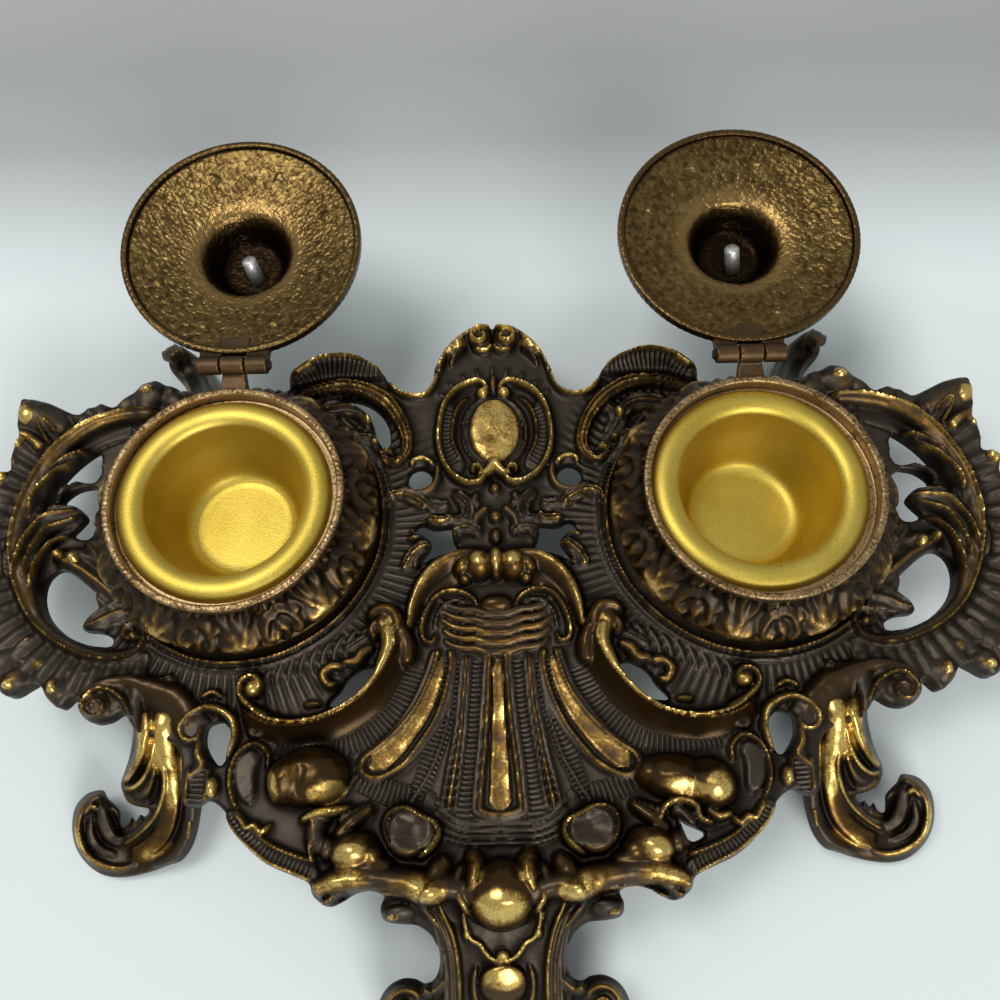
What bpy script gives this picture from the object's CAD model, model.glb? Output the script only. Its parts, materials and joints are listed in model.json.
import json
import math

import bmesh
import bpy
import numpy as np
from mathutils import Matrix, Vector


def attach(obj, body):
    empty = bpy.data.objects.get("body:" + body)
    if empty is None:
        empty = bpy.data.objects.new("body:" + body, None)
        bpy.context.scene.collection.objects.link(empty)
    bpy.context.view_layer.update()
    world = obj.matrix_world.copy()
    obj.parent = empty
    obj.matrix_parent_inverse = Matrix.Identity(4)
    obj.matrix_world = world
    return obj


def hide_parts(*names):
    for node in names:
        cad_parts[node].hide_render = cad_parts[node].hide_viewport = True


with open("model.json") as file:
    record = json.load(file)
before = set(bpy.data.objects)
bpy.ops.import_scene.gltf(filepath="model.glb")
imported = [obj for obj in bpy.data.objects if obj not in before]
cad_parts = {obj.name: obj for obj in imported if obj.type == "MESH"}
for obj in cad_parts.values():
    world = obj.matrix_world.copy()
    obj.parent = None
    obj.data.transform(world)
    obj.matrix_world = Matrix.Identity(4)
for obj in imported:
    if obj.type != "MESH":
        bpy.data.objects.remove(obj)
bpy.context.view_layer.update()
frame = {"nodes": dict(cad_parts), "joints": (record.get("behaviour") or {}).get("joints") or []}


# ---------- Camera ----------
# The stand is seen from above its front edge, looking down at 68 degrees, so the
# whole tray, both open wells and the lids that lie back are in view.
MM = 0.001
WELL_X = 74.0                                   # from the middle to a well's axis, mm
HANDS = ((-1, "left"), (1, "right"))            # the two sides of the stand
PIN_Y = 39.2                                    # from the line of the wells back to a hinge pin
EYE = (3.7, -99.0, 292.7)                       # the camera, from the middle of the line of the wells
hinge = {j["name"]: j for j in frame["joints"]}["right_lid_hinge"]
WELL_Y = hinge["pos_m"][1] / MM - PIN_Y         # where the line of the wells lies in the frame

look_down, look_turn, look_roll = math.radians(68.19), math.radians(-1.22), math.radians(-2.42)


def turned(v):
    """Turns a view direction about the vertical."""
    c, s = math.cos(look_turn), math.sin(look_turn)
    return Vector((v[0] * c + v[1] * s, -v[0] * s + v[1] * c, v[2]))


ahead = turned((0, math.cos(look_down), -math.sin(look_down)))
upward = turned((0, math.sin(look_down), math.cos(look_down)))
across = turned((1, 0, 0))
roll_c, roll_s = math.cos(look_roll), math.sin(look_roll)
view_x = across * roll_c + upward * roll_s
view_y = upward * roll_c - across * roll_s


def placed(name, data):
    """Makes an object of some data and adds it to the scene."""
    obj = bpy.data.objects.new(name, data)
    bpy.context.scene.collection.objects.link(obj)
    return obj


camera_data = bpy.data.cameras.new("view")
camera_data.lens = 34.2
camera_data.sensor_width = 36
camera_data.clip_start = 0.01
camera = placed("view", camera_data)
camera.matrix_world = Matrix((
    (view_x[0], view_y[0], -ahead[0], EYE[0] * MM),
    (view_x[1], view_y[1], -ahead[1], (WELL_Y + EYE[1]) * MM),
    (view_x[2], view_y[2], -ahead[2], EYE[2] * MM),
    (0, 0, 0, 1)))
bpy.context.scene.camera = camera


# ---------- Floor and light ----------
# A pale sweep of paper lies under the stand, and large soft lamps hang above it.
def new_material(name):
    """An empty node material: its nodes and its shader."""
    material = bpy.data.materials.new(name)
    material.use_nodes = True
    nodes = material.node_tree.nodes
    return material, nodes, nodes["Principled BSDF"]


def fill(socket, value):
    """Gives an input a number, a colour or another node's output."""
    if isinstance(value, bpy.types.NodeSocket):
        socket.id_data.links.new(value, socket)
    else:
        socket.default_value = (*value, 1) if isinstance(value, tuple) else value


def feed(node, **values):
    """Sets a node up. Keys are socket names with _ for a space, or the node's own settings."""
    for key, value in values.items():
        if hasattr(node, key):
            setattr(node, key, value)
        else:
            fill(node.inputs[key.replace("_", " ")], value)
    return node


def add_node(nodes, kind, **values):
    return feed(nodes.new("ShaderNode" + kind), **values)


def tinted(nodes, value, stops):
    """Colours a value by (place, colour) stops. A number stands for a grey."""
    node = add_node(nodes, "ValToRGB", Fac=value)
    elements = node.color_ramp.elements
    while len(elements) < len(stops):
        elements.new(0.5)
    for element, (place, colour) in zip(elements, stops):
        element.position = place
        element.color = (*colour, 1) if isinstance(colour, tuple) else (colour, colour, colour, 1)
    return node.outputs[0]


def scaled(nodes, value, low, high, to_low=0.0, to_high=1.0, **more):
    """Carries a value from one range over to another."""
    return add_node(nodes, "MapRange", Value=value, From_Min=low, From_Max=high, To_Min=to_low, To_Max=to_high,
                    **more).outputs[0]


def spot(nodes):
    """A place on the piece, in its own coordinates."""
    return add_node(nodes, "TexCoord").outputs["Object"]


bpy.ops.object.select_all(action="DESELECT")
bpy.ops.mesh.primitive_plane_add(size=6, location=(0, 0.8, 0))
floor = bpy.context.object
floor.name = "paper_sweep"
bpy.ops.object.transform_apply(location=True, rotation=True, scale=True)
paper, nodes, shader = new_material("paper")
depth = add_node(nodes, "SeparateXYZ", Vector=spot(nodes)).outputs["Y"]
fade = tinted(nodes, scaled(nodes, depth, -0.2, 0.3), [
    (0.0, (0.635, 0.69, 0.675)), (0.52, (0.68, 0.735, 0.72)), (0.64, (0.73, 0.785, 0.77)), (0.68, (0.66, 0.71, 0.70)),
    (0.73, (0.52, 0.55, 0.54)), (0.78, (0.39, 0.405, 0.395)), (0.86, (0.355, 0.365, 0.355)),
    (1.0, (0.42, 0.425, 0.41))])
feed(shader, Base_Color=fade, Roughness=0.8, Specular_IOR_Level=0.1)
floor.data.materials.append(paper)

world = bpy.data.worlds.new("room")
world.use_nodes = True
feed(world.node_tree.nodes["Background"], Color=(0.93, 0.97, 1.0), Strength=0.5)
bpy.context.scene.world = world
bpy.context.scene.view_settings.view_transform = "Standard"


def soft_lamp(name, place, size, power):
    """A square area lamp that faces the middle of the stand."""
    data = bpy.data.lights.new(name, "AREA")
    data.size = size
    data.energy = power
    lamp = placed(name, data)
    lamp.location = place
    lamp.rotation_euler = (-Vector(place)).to_track_quat("-Z", "Y").to_euler()


soft_lamp("ceiling_lamp", (-0.35, 0.10, 0.95), 0.4, 4.2)
soft_lamp("window_lamp", (0.30, -0.95, 0.62), 0.6, 8.5)


# ---------- Tray ----------
# The tray is one pierced bronze casting, modelled in wax and chased: scrolls, leaves
# and a shell stand in relief on its ground. It is patinated dark and rubbed to brass
# on all that stands proud.
GROUND = 30.0                                   # height of the tray's ground, mm
UNDER = 27.0                                    # height of its underside
PITCH = 0.45                                    # spacing of the tray's mesh


def between(p0, p1, p2, p3, t):
    """The place at share t of the way from p1 to p2, on a curve that also passes p0 and p3."""
    return (2 * p1 + (p2 - p0) * t + (2 * p0 - 5 * p1 + 4 * p2 - p3) * t * t
            + (3 * p1 - p0 - 3 * p2 + p3) * t ** 3) / 2


def flow(points, steps=6):
    """A smooth curve through all of the points."""
    p = np.asarray(points, float)
    p = np.vstack([p[:1], p, p[-1:]])
    spans = [between(p[i - 1], p[i], p[i + 1], p[i + 2], k / steps)
             for i in range(1, len(p) - 2) for k in range(steps)]
    return np.array(spans + [p[-1]])


def spiral(centre, r0, r1, a0, a1):
    """A scroll's end: a curve round a centre from radius r0 to r1, with angles in degrees."""
    count = int(abs(a1 - a0) / 18) + 2
    a = np.radians(np.linspace(a0, a1, count))
    r = np.linspace(r0, r1, count)
    return np.stack([centre[0] + r * np.cos(a), centre[1] + r * np.sin(a)], 1)


# The outline's right half and the windows, in mm from the middle of the line of the wells.
crest_line = [(0, 65), (5, 64.5), (10, 61.5), (14, 57.5), (18, 50), (20, 44.5), (22, 42.5), (26, 42.3), (30, 44),
              (34, 48.5), (38, 52), (44, 54.8), (50, 55.5), (56, 54), (61, 50.5), (64, 48)]
wing_line = [(-8, 44.5), (12, 44.5), (22, 45), (27, 46.2), (33, 48.3), (38, 44.5), (43, 39.8), (48, 40.4), (52, 38.6),
             (55, 36.8), (60, 39.2), (66, 41.5), (71.5, 42.3), (72.6, 39.5), (72, 33), (70.8, 28), (72.6, 24),
             (71.6, 19), (76, 15.5), (75.4, 10.5), (77.4, 6), (76.4, 2), (78, -3), (76.8, -8), (77.6, -13),
             (75.6, -17.5), (76, -22.5), (72.8, -27), (73, -31), (69, -34.5), (70, -38), (67.5, -43.5), (61.5, -49.5),
             (56, -47), (53.5, -46), (50, -50.5), (46.5, -53), (43.5, -50.5), (40.5, -50)]
front_line = [(115, -50), (115, -53.5), (111.5, -57), (107, -56.8), (103, -54.6), (100.2, -57.6), (97, -60.5),
              (90, -62.4), (86.6, -66), (85.6, -73), (84.4, -78.6), (81, -79.6), (77.4, -78), (73, -81),
              (70.5, -85.5), (66, -90), (61, -94), (55, -96.6), (50, -98.8), (48.5, -102), (44.5, -104.6),
              (41, -103.5), (38, -101.8), (34, -101), (30.2, -102), (31.2, -105), (30.5, -108), (27, -109),
              (22, -109.5), (18.5, -112), (16.5, -115), (10, -117), (0, -118)]
upper_crescent = np.vstack([spiral((104, -1), 31.5, 31.5, 72, 14),
                            [(134, 4), (131.5, 9), (129.5, 12.5), (126, 14.8), (121.5, 15), (119.6, 18), (120, 23),
                             (121, 26)]])
middle_window = [(121.5, 13.5), (126, 12.5), (129.5, 9.5), (129, 7.6), (125, 6.8), (122, 3.6), (123.8, 0.5),
                 (125.4, -1.8), (122, -3.4), (119.4, -2.2), (118.2, 2), (117.8, 7), (118.6, 11)]
lower_crescent = [(115, -20.5), (122, -15), (127, -12.6), (130.5, -15.5), (131, -21), (128.5, -27), (123, -32),
                  (116.5, -35), (109.8, -35.6), (109.4, -33.4), (113, -31.6), (117.6, -31), (118, -28.6),
                  (114.6, -24.5)]
scroll_slit = [(33.5, -44), (36.5, -43), (41.5, -45.8), (43.8, -49.6), (47, -53.2), (44.5, -53.8), (40.5, -52.4),
               (36.5, -49), (33.8, -46)]
leg_slot = [(73.5, -59.5), (76, -57.4), (79.5, -58.5), (80.2, -61.5), (79.3, -65), (76, -69), (73.8, -67), (73, -63)]
centre_window = [(13, -2), (18, -2.4), (22, -1), (24, -3.6), (20, -5.4), (19, -8), (22.4, -13.4), (16.5, -10.5),
                 (11.5, -9.2), (12.6, -6)]
back_crescent = np.vstack([spiral((46, 27), 14.2, 14.2, 78, 186), [(33.5, 24), (36, 27.5), (37.5, 33), (42, 37.5)]])
small_hole = [(46.5, -84.6), (49, -86.5), (53.4, -88.6), (51, -90.4), (48, -90)]


def mirrored(points):
    """The same line on the other side of the middle, run the other way."""
    p = np.asarray(points, float)[::-1].copy()
    p[:, 0] *= -1
    return p


right_edge = np.vstack([crest_line, [(x + WELL_X, y) for x, y in wing_line], front_line])


def whole(half):
    """A closed outline from its right half."""
    return np.vstack([half, mirrored(half)[1:-1], half[:1]])


outline = flow(whole(right_edge), 4)
round_window = spiral((22.5, 13.6), 3.6, 3.6, 0, 340)


def closed(line):
    """A line that ends where it starts."""
    return np.vstack([line, line[:1]])


holes = [spiral((side * WELL_X, 0), 27, 27, 0, 357) for side in (1, -1)]
for shape in (upper_crescent, middle_window, lower_crescent, scroll_slit, leg_slot, centre_window, round_window):
    holes += [flow(closed(shape), 3), flow(mirrored(closed(shape)), 3)]
# Two windows are pierced on one side only.
holes += [flow(mirrored(closed(back_crescent)), 3), flow(closed(small_hole), 3)]

# The relief is laid out on a fine grid of heights above the ground. side_x counts
# outwards from the middle on both sides, and a slight drift keeps the hand's unevenness.
grid_x = np.arange(-153, 153.1, PITCH)
grid_y = np.arange(-120, 67.1, PITCH)
X, Y = np.meshgrid(grid_x, grid_y)
drift = [np.sin(X * a + b) * np.cos(Y * c + d) for a, b, c, d in
         ((0.051, 0.4, 0.043, 1.1), (0.037, 2.0, 0.063, 0.3), (0.13, 1.7, 0.11, 0.9), (0.17, 0.2, 0.15, 2.2))]
side_x = np.abs(X) + (0.45 * drift[0] + 0.15 * drift[2]) * np.clip((np.abs(X) - 2) / 10, 0, 1)
side_y = Y + 0.4 * drift[1] + 0.12 * drift[3]
dice = np.random.default_rng(7)


def blurred(field, sigma):
    """A Gaussian blur, sigma in mm."""
    reach = int(3 * sigma / PITCH) + 1
    kernel = np.exp(-0.5 * (np.arange(-reach, reach + 1) * PITCH / sigma) ** 2)
    kernel /= kernel.sum()
    wide = np.pad(field, reach, mode="edge")
    wide = sum(k * wide[:, i:i + field.shape[1]] for i, k in enumerate(kernel))
    return sum(k * wide[i:i + field.shape[0]] for i, k in enumerate(kernel))


def lumps(sigma):
    """Smooth random unevenness between about -1 and 1."""
    field = blurred(dice.normal(size=X.shape), sigma)
    return np.clip(field / (2 * field.std()), -1.5, 1.5)


side_x = side_x + 0.16 * lumps(2.6)
side_y = side_y + 0.16 * lumps(2.6)
height = np.zeros_like(X)
gilt = np.zeros_like(X)
rib_turn = np.zeros_like(X)                     # phase of the fine cross-ribbing
rib_depth = np.zeros_like(X)
lacquer = np.zeros_like(X)                      # smooth places where brown lacquer shows
halves = ((1, grid_x >= 0), (-1, grid_x < 0))


DRIFT_ROOM = 0.7                                # room left round a curve for the drift, mm


def near(points, reach):
    """Yields, for each half, the window of the grid round a curve."""
    low, high = points.min(0) - reach - DRIFT_ROOM, points.max(0) + reach + DRIFT_ROOM
    rows = np.where((grid_y > low[1]) & (grid_y < high[1]))[0]
    if not len(rows):
        return
    for side, half in halves:
        cols = np.where(half & (np.abs(grid_x) > max(low[0], -1)) & (np.abs(grid_x) < high[0]))[0]
        if len(cols):
            yield side, (slice(rows[0], rows[-1] + 1), slice(cols[0], cols[-1] + 1))


def along(points, x, y):
    """Distance from a curve, the side of it, and how far along it the nearest place is."""
    a, b = points[:-1], points[1:]
    d = b - a
    size = np.maximum(np.hypot(d[:, 0], d[:, 1]), 1e-6)
    start = np.concatenate([[0], np.cumsum(size)])
    best = np.full(x.shape, 1e9)
    side = np.zeros(x.shape)
    place = np.zeros(x.shape)
    for i in range(len(a)):
        px, py = x - a[i, 0], y - a[i, 1]
        t = np.clip((px * d[i, 0] + py * d[i, 1]) / size[i] ** 2, 0, 1)
        ex, ey = px - t * d[i, 0], py - t * d[i, 1]
        dist = np.hypot(ex, ey)
        closer = dist < best
        best = np.where(closer, dist, best)
        side = np.where(closer, np.sign(d[i, 0] * py - d[i, 1] * px), side)
        place = np.where(closer, start[i] + t * size[i], place)
    return best, side, place, start[-1]


def spread(values, t):
    """What a row of values, spread evenly from 0 to 1, comes to at t."""
    values = np.atleast_1d(values)
    return np.interp(t, np.linspace(0, 1, len(values)), values)


# The tops that a ridge can have: u runs from -1 to 1 across it, and t from 0 to 1 along it.
def round_top(u, t):
    return np.sqrt(np.clip(1 - u * u, 0, 1))


def triple_top(u, t):
    """A middle rail with a thinner one at each side of it."""
    return np.clip(0.5 * np.exp(-((np.abs(u) - 0.76) / 0.13) ** 2) + 0.42 * np.exp(-(u / 0.26) ** 2)
                   + 0.55 * np.clip((1 - np.abs(u)) * 5, 0, 1), 0, 1.1)


def outer_roll(u, t):
    """A broad roll that is highest towards the left of the curve."""
    return np.sqrt(np.clip(1 - u * u, 0, 1)) * np.clip(0.62 + 0.45 * u, 0, 1)


def band_top(u, t):
    """A rounded band with one rail near its left edge."""
    return 0.74 * np.sqrt(np.clip(1 - u * u, 0, 1)) + 0.36 * np.exp(-((u - 0.42) / 0.17) ** 2)


def flat_top(u, t):
    e = np.clip((1 - np.abs(u)) * 2.6, 0, 1)
    return e * e * (3 - 2 * e)


def slope_top(u, t):
    """A sharp crest at the left edge of the curve and a long hollow slope on its right."""
    v = np.clip((u + 1) / 2, 0, 1)
    rise = np.clip((1 - v) / 0.22, 0, 1)
    fall = np.clip(v / 0.78, 0, 1)
    return np.minimum(np.sqrt(rise), 1) * (0.12 * fall + 0.88 * fall ** 2.2)


def strip_top(u, t):
    """A shallow gutter with a sharp rim."""
    return np.clip((1 - np.abs(u)) * 6, 0, 1) * (0.8 + 0.3 * np.abs(u) ** 3)


def leaf_top(lobes):
    """An acanthus leaf: a groove down its middle, and veins that sweep out to its lobes."""
    def top(u, t):
        lobe = np.cos(2 * math.pi * (lobes * t - 0.55 * np.abs(u) + 0.1)) * np.abs(u) ** 1.3
        body = np.clip(1 - u * u, 0, 1) ** 0.42
        return body * (0.72 + 0.18 * lobe + 0.24 * np.cos(2 * math.pi * (1.25 * u + 0.2 * t)))
    return top


THIN = 1.3                                      # half width of a ridge too fine to be rubbed bright, mm
FINEST = 0.66                                   # the least half width that the grid can show, mm


def carve(points, width, rise, top=round_top, gold=0.0, ease=0.1, sides=(1, -1), ribs=None, glaze=0.0, lean=0.0):
    """Lays a ridge along a curve: half width and height in mm, the shape of its top,
    how far its crown is rubbed to brass, the share of its length that tapers, any fine
    ribs across it, how far it is lacquered, and to which side the rubbing leans."""
    points = np.asarray(points, float)
    if 2 < len(points) < 14:
        points = flow(points, 3)
    if np.max(width) < THIN:
        gold = np.multiply(gold, 0.78)
    reach = float(np.max(width)) * 1.05
    for side, window in near(points, reach):
        if side not in sides:
            continue
        dist, hand, place, length = along(points, side_x[window], side_y[window])
        t = place / length
        ramp = np.clip(np.minimum(t, 1 - t) / max(ease, 1e-3), 0, 1) ** 0.6 if ease else 1.0
        w = np.maximum(spread(width, t) * (0.35 + 0.65 * ramp), FINEST)
        u = dist * hand / w
        inside = np.abs(u) < 1
        shape = top(u, t)
        h = spread(rise, t) * (0.4 + 0.6 * ramp) * shape
        wins = inside & (h > height[window])
        height[window] = np.where(wins, h, height[window])
        worn = spread(gold, t) * np.clip(shape, 0, 1) ** 1.5 * np.clip(1 + lean * u, 0, 1)
        gilt[window] = np.where(wins, worn, gilt[window])
        lacquer[window] = np.where(wins, glaze, lacquer[window])
        if ribs:
            rib_turn[window] = np.where(wins, 2 * math.pi * place / ribs[0], rib_turn[window])
        rib_depth[window] = np.where(wins, (ribs[1] * np.clip((1 - np.abs(u)) * 5, 0, 1)) if ribs else 0,
                                     rib_depth[window])


def swell(centre, rx, ry, rise, gold=0.0, turn=0.0, power=0.5, sides=(1, -1), glaze=0.0):
    """A boss or dome: an oval that swells out of the ground."""
    c, s = math.cos(math.radians(turn)), math.sin(math.radians(turn))
    reach = max(rx, ry)
    for side, window in near(np.array([centre, centre], float), reach):
        if side not in sides:
            continue
        dx, dy = side_x[window] - centre[0], side_y[window] - centre[1]
        q = ((dx * c + dy * s) / rx) ** 2 + ((dy * c - dx * s) / ry) ** 2
        shape = np.clip(1 - q, 0, 1) ** power
        h = rise * shape
        wins = (q < 1) & (h > height[window])
        height[window] = np.where(wins, h, height[window])
        gilt[window] = np.where(wins, gold * np.clip(1.25 * shape - 0.1, 0, 1), gilt[window])
        lacquer[window] = np.where(wins, glaze, lacquer[window])
        rib_depth[window] = np.where(wins, 0, rib_depth[window])


def gild(centre, rx, ry, gold, turn=0.0, sides=(1, -1)):
    """Rubs an oval place to brass and leaves its shape alone."""
    c, s = math.cos(math.radians(turn)), math.sin(math.radians(turn))
    for side, window in near(np.array([centre, centre], float), 1.4 * max(rx, ry)):
        if side in sides:
            dx, dy = side_x[window] - centre[0], side_y[window] - centre[1]
            q = ((dx * c + dy * s) / rx) ** 2 + ((dy * c - dx * s) / ry) ** 2
            gilt[window] = np.maximum(gilt[window], gold * np.clip(1.35 - q, 0, 1))


def dish(centre, rx, ry, depth, sides=(1, -1)):
    """A hollow in what is already there."""
    for side, window in near(np.array([centre, centre], float), max(rx, ry)):
        if side in sides:
            q = ((side_x[window] - centre[0]) / rx) ** 2 + ((side_y[window] - centre[1]) / ry) ** 2
            height[window] -= depth * np.clip(1 - q, 0, 1) ** 1.2


def groove(points, width, depth, sides=(1, -1)):
    """A furrow along a curve in what is already there."""
    points = flow(points, 3)
    for side, window in near(points, 1.05 * float(np.max(width))):
        if side in sides:
            dist, _, place, length = along(points, side_x[window], side_y[window])
            t = place / length
            ends = np.clip(np.minimum(t, 1 - t) / 0.15, 0, 1) ** 0.5
            height[window] -= depth * ends * np.clip(1 - (dist / spread(width, t)) ** 2, 0, 1)


# The ground: cross-ribbed round the wells and in the shell.
well_r = np.hypot(np.abs(X) - WELL_X, Y)
well_a = np.arctan2(Y, np.abs(X) - WELL_X)
WING_X = 112                                    # where the wings begin, from the middle
RING_R0, RING_R1 = 44.2, 62                     # the ribbed ground round a well
ring = (well_r > RING_R0) & (well_r < RING_R1) & (np.abs(X) < WING_X)
rib_turn[ring] = (well_a * 46 / 2.3 * 2 * math.pi)[ring] + 0.25 * well_r[ring]
rib_depth[ring] = 0.9 * np.clip((RING_R1 - well_r[ring]) / 10, 0, 1) * np.clip((well_r[ring] - RING_R0) / 2, 0, 1)

# The thin rings that each well stands in.
for r, wide, tall, gold in ((41.3, 0.75, 2.2, 0.25), (43.2, 0.6, 1.2, 0.05)):
    carve(flow(spiral((WELL_X, 0), r, r, 0, 360), 4), wide, tall, gold=gold, ease=0)

# Fan of flutes along each wing's ruffled edge, outside the big scroll.
fan_r = np.hypot(side_x - 104, side_y + 1)
fan_a = np.arctan2(side_y + 1, side_x - 104)
FAN_R = 37                                      # where the flutes begin, from the scroll's middle
fan = (fan_r > FAN_R) & (side_x > 98)
flute = np.cos(fan_a * 46 / 4.5 * 2 * math.pi + 0.5 * np.sin(fan_a * 5))
fan_rise = np.clip((fan_r - FAN_R) / 5, 0, 1)
fluting = 0.9 + 1.1 * (0.5 + 0.5 * flute) ** 0.7 * fan_rise + 1.1 * np.clip((fan_r - 41) / 5, 0, 1)
height = np.where(fan, fluting, height)
rib_depth[fan] = 0

# The wing's scroll: a broad band with two rubbed rails, round the pierced crescents.
wing_band = flow([(103, 36.6), (108, 37), (114, 36.2), (121, 33.8), (128.4, 28.6), (134.4, 20.4), (138.6, 10),
                  (140, 0), (138.8, -9), (135.8, -18), (131.4, -26), (125.6, -32.2), (118.4, -36.6), (111, -38.7),
                  (105, -38.6), (101, -36.4), (99.8, -32.6), (101.6, -29.8), (104.8, -30.4), (105.4, -33),
                  (103.4, -34)], 5)
carve(wing_band, [2.3, 2.5, 2.7, 2.7, 2.5, 2.7, 3.2, 3, 2.4, 1.7, 1.2, 1],
      [4.6, 5.4, 5.8, 5.8, 5.6, 5.4, 5.2, 4.8, 4.2, 3.8, 3.6], band_top,
      gold=[0.3, 0.75, 0.7, 0.5, 0.6, 0.5, 0.4, 0.2, 0.1, 0.1], ease=0.02, glaze=0.35)
swell((102.8, -33), 1.6, 1.6, 3.4, 0.2)

# Leaves that reach from the wing's scroll into the crescents.
leaf3, leaf4 = leaf_top(3), leaf_top(4)
carve([(137.5, 2), (136, 10), (131.5, 16.5), (126, 20), (120.5, 20.4)], [3, 4.6, 5.2, 5.2, 3.8],
      [4.4, 5, 5, 4.6, 3.6], leaf3, gold=0.3, ease=0.05)
carve(flow([(138, 4), (135.6, 11.5), (130, 18), (124, 20.6)]), [1, 0.8], [6.4, 5.4], gold=0.65, ease=0.2)
carve(flow([(135.4, 14), (131, 20.4), (125.6, 23.4), (121.6, 22.8)]), [0.8, 0.7], [5.4, 4.6], gold=0.35, ease=0.2)
carve([(138, -16), (137.6, -6), (133.5, 1), (128, 3.6), (123.5, 4)], [3.5, 5.6, 5.2, 4.4, 2.6],
      [4.6, 5.2, 5.2, 4.8, 3.8], leaf3, gold=0.3, ease=0.05)
carve(flow([(138.6, -18), (137.2, -6), (132.6, 2.4), (127, 5.2)]), [0.9, 0.8], [6.4, 5.4], gold=0.6, ease=0.2)
carve(flow([(135.8, -18), (135, -9), (131.6, -1.4), (126.4, 1.6)]), [0.8, 0.7], [5.6, 4.6], gold=0.45, ease=0.2)
carve(flow([(133.6, -20), (132.8, -11), (130, -5.6), (126.4, -3)]), [0.9, 0.7], [5.2, 4.2], gold=0.45, ease=0.2)
carve([(106, -24), (112, -19), (119, -13.5), (127, -9.6)], [4.5, 6, 5.6, 3.4], [3.2, 4.2, 4.6, 4.4], leaf4, gold=0.35)
swell((122.4, -10.4), 2.6, 2, 5.6, 0.9, 35)
swell((127.2, -9), 1.9, 1.6, 5.2, 0.5)
carve([(103, -25), (109, -26.5), (114, -28.6), (118, -30)], [4, 4.4, 3.6, 1.6], [2.4, 3.2, 3, 2.6], leaf3, gold=0.2)
carve([(104, -17), (110, -14.5), (116, -9), (120, -5)], [3, 4.4, 4.2, 2.4], [2, 3, 3.2, 2.8], leaf3, gold=0.2)

# Nubs and shells along the wing's edge.
swell((106.6, 43.4), 6.5, 5.2, 4.2, 0.3, -30)
swell((107, 44.6), 3, 2.4, 5.4, 0.9)
swell((99, 42), 4.5, 3.4, 3, 0.2, 20)
swell((113.4, 40.6), 4.2, 3.6, 3.6, 0.25, -35)
swell((121, 37.8), 3.2, 3.8, 3.2, 0.25)
swell((126.4, 35), 3, 4.2, 3, 0.2, 15)
carve([(131, 32), (135.5, 33.5), (140, 36), (145, 39.4)], [2.4, 4.6, 5.8, 3.8], [3.2, 4.6, 5.4, 4.8], round_top, 0.35,
      ease=0.02)
swell((142.8, 36.2), 3.6, 4.6, 6, 0.95, -40)
carve([(135, 27), (138.6, 32.6), (137.6, 34.6), (133.4, 30.4)], 0.7, 5.6, gold=0.6, ease=0.05)
carve([(137, 25), (141.4, 29), (145, 30)], [2.2, 1.8], 4.4, gold=0.5)
swell((144.6, 27), 1.8, 2.6, 4.6, 0.7)
swell((148.6, 15.4), 3, 3.2, 4.4, 0.6)
swell((147, 16), 1.6, 1.6, 5.2, 0.9)
swell((146, 20.6), 3.6, 2.6, 3.8, 0.25, 20)
for i, (x, y, turn) in enumerate([(148.6, 9.6, 10), (149.6, 4.4, 4), (149.4, -1, 0), (149.2, -6.4, -6),
                                  (148, -11.6, -12), (147, -17, -18), (145, -22.4, -24), (142.6, -27.6, -32)]):
    swell((x, y), 5.4, 2.3, 3.2 + 0.3 * (i % 2), 0.25, turn)
swell((138, -40.6), 5.4, 4.6, 4, 0.2, -40)
swell((139.4, -42.6), 3, 2.6, 5, 0.5)
swell((133.4, -45.4), 4.2, 3.8, 4.4, 0.3)
swell((134.6, -46.6), 2.2, 2, 5.2, 0.8)
swell((122, -48), 4.6, 4.4, 4.2, 0.3, 20)
swell((122.6, -47.4), 2, 3, 5.4, 0.9, -20)
swell((128, -41), 2.6, 2.4, 3.2, 0.4)
carve([(131, -33), (134, -36), (134, -39.6), (131, -40.4)], 1.2, 3, gold=0.3)
carve([(112, -44), (119, -43), (126, -45)], 1.2, 2.2, gold=0.2)

# The shoulder scroll over each side leg.
carve(flow([(84, -60), (87, -54.6), (91.4, -51), (97, -48.6), (103, -47), (109, -47.2), (113.4, -49.8), (114, -53.6),
            (111.4, -56.4)]), [3.4, 4.6, 5, 4.4, 3.6, 3, 2.6, 2.2, 1.6], [3.4, 4.6, 5.2, 5.4, 5.2, 5, 4.6, 4.2, 3.8],
      outer_roll, gold=0.12, ease=0.02, glaze=0.7)
carve(flow([(99.6, -56), (102, -51.6), (106.4, -48.4), (110.6, -48.2), (113.6, -51.4), (113, -55)]), 0.7,
      [4.6, 5.8, 6, 5.6, 5, 4.4], gold=[0.2, 0.5, 0.8, 0.5], ease=0.04)
swell((109.6, -52.6), 4.2, 4.2, 4.4, 0.05, power=0.3, glaze=0.4)
carve(flow(spiral((109.6, -52.6), 3.4, 0.6, 20, -400), 2), [0.8, 0.6], 5.4, gold=[0.5, 0.3, 0.2], ease=0.04)

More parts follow.
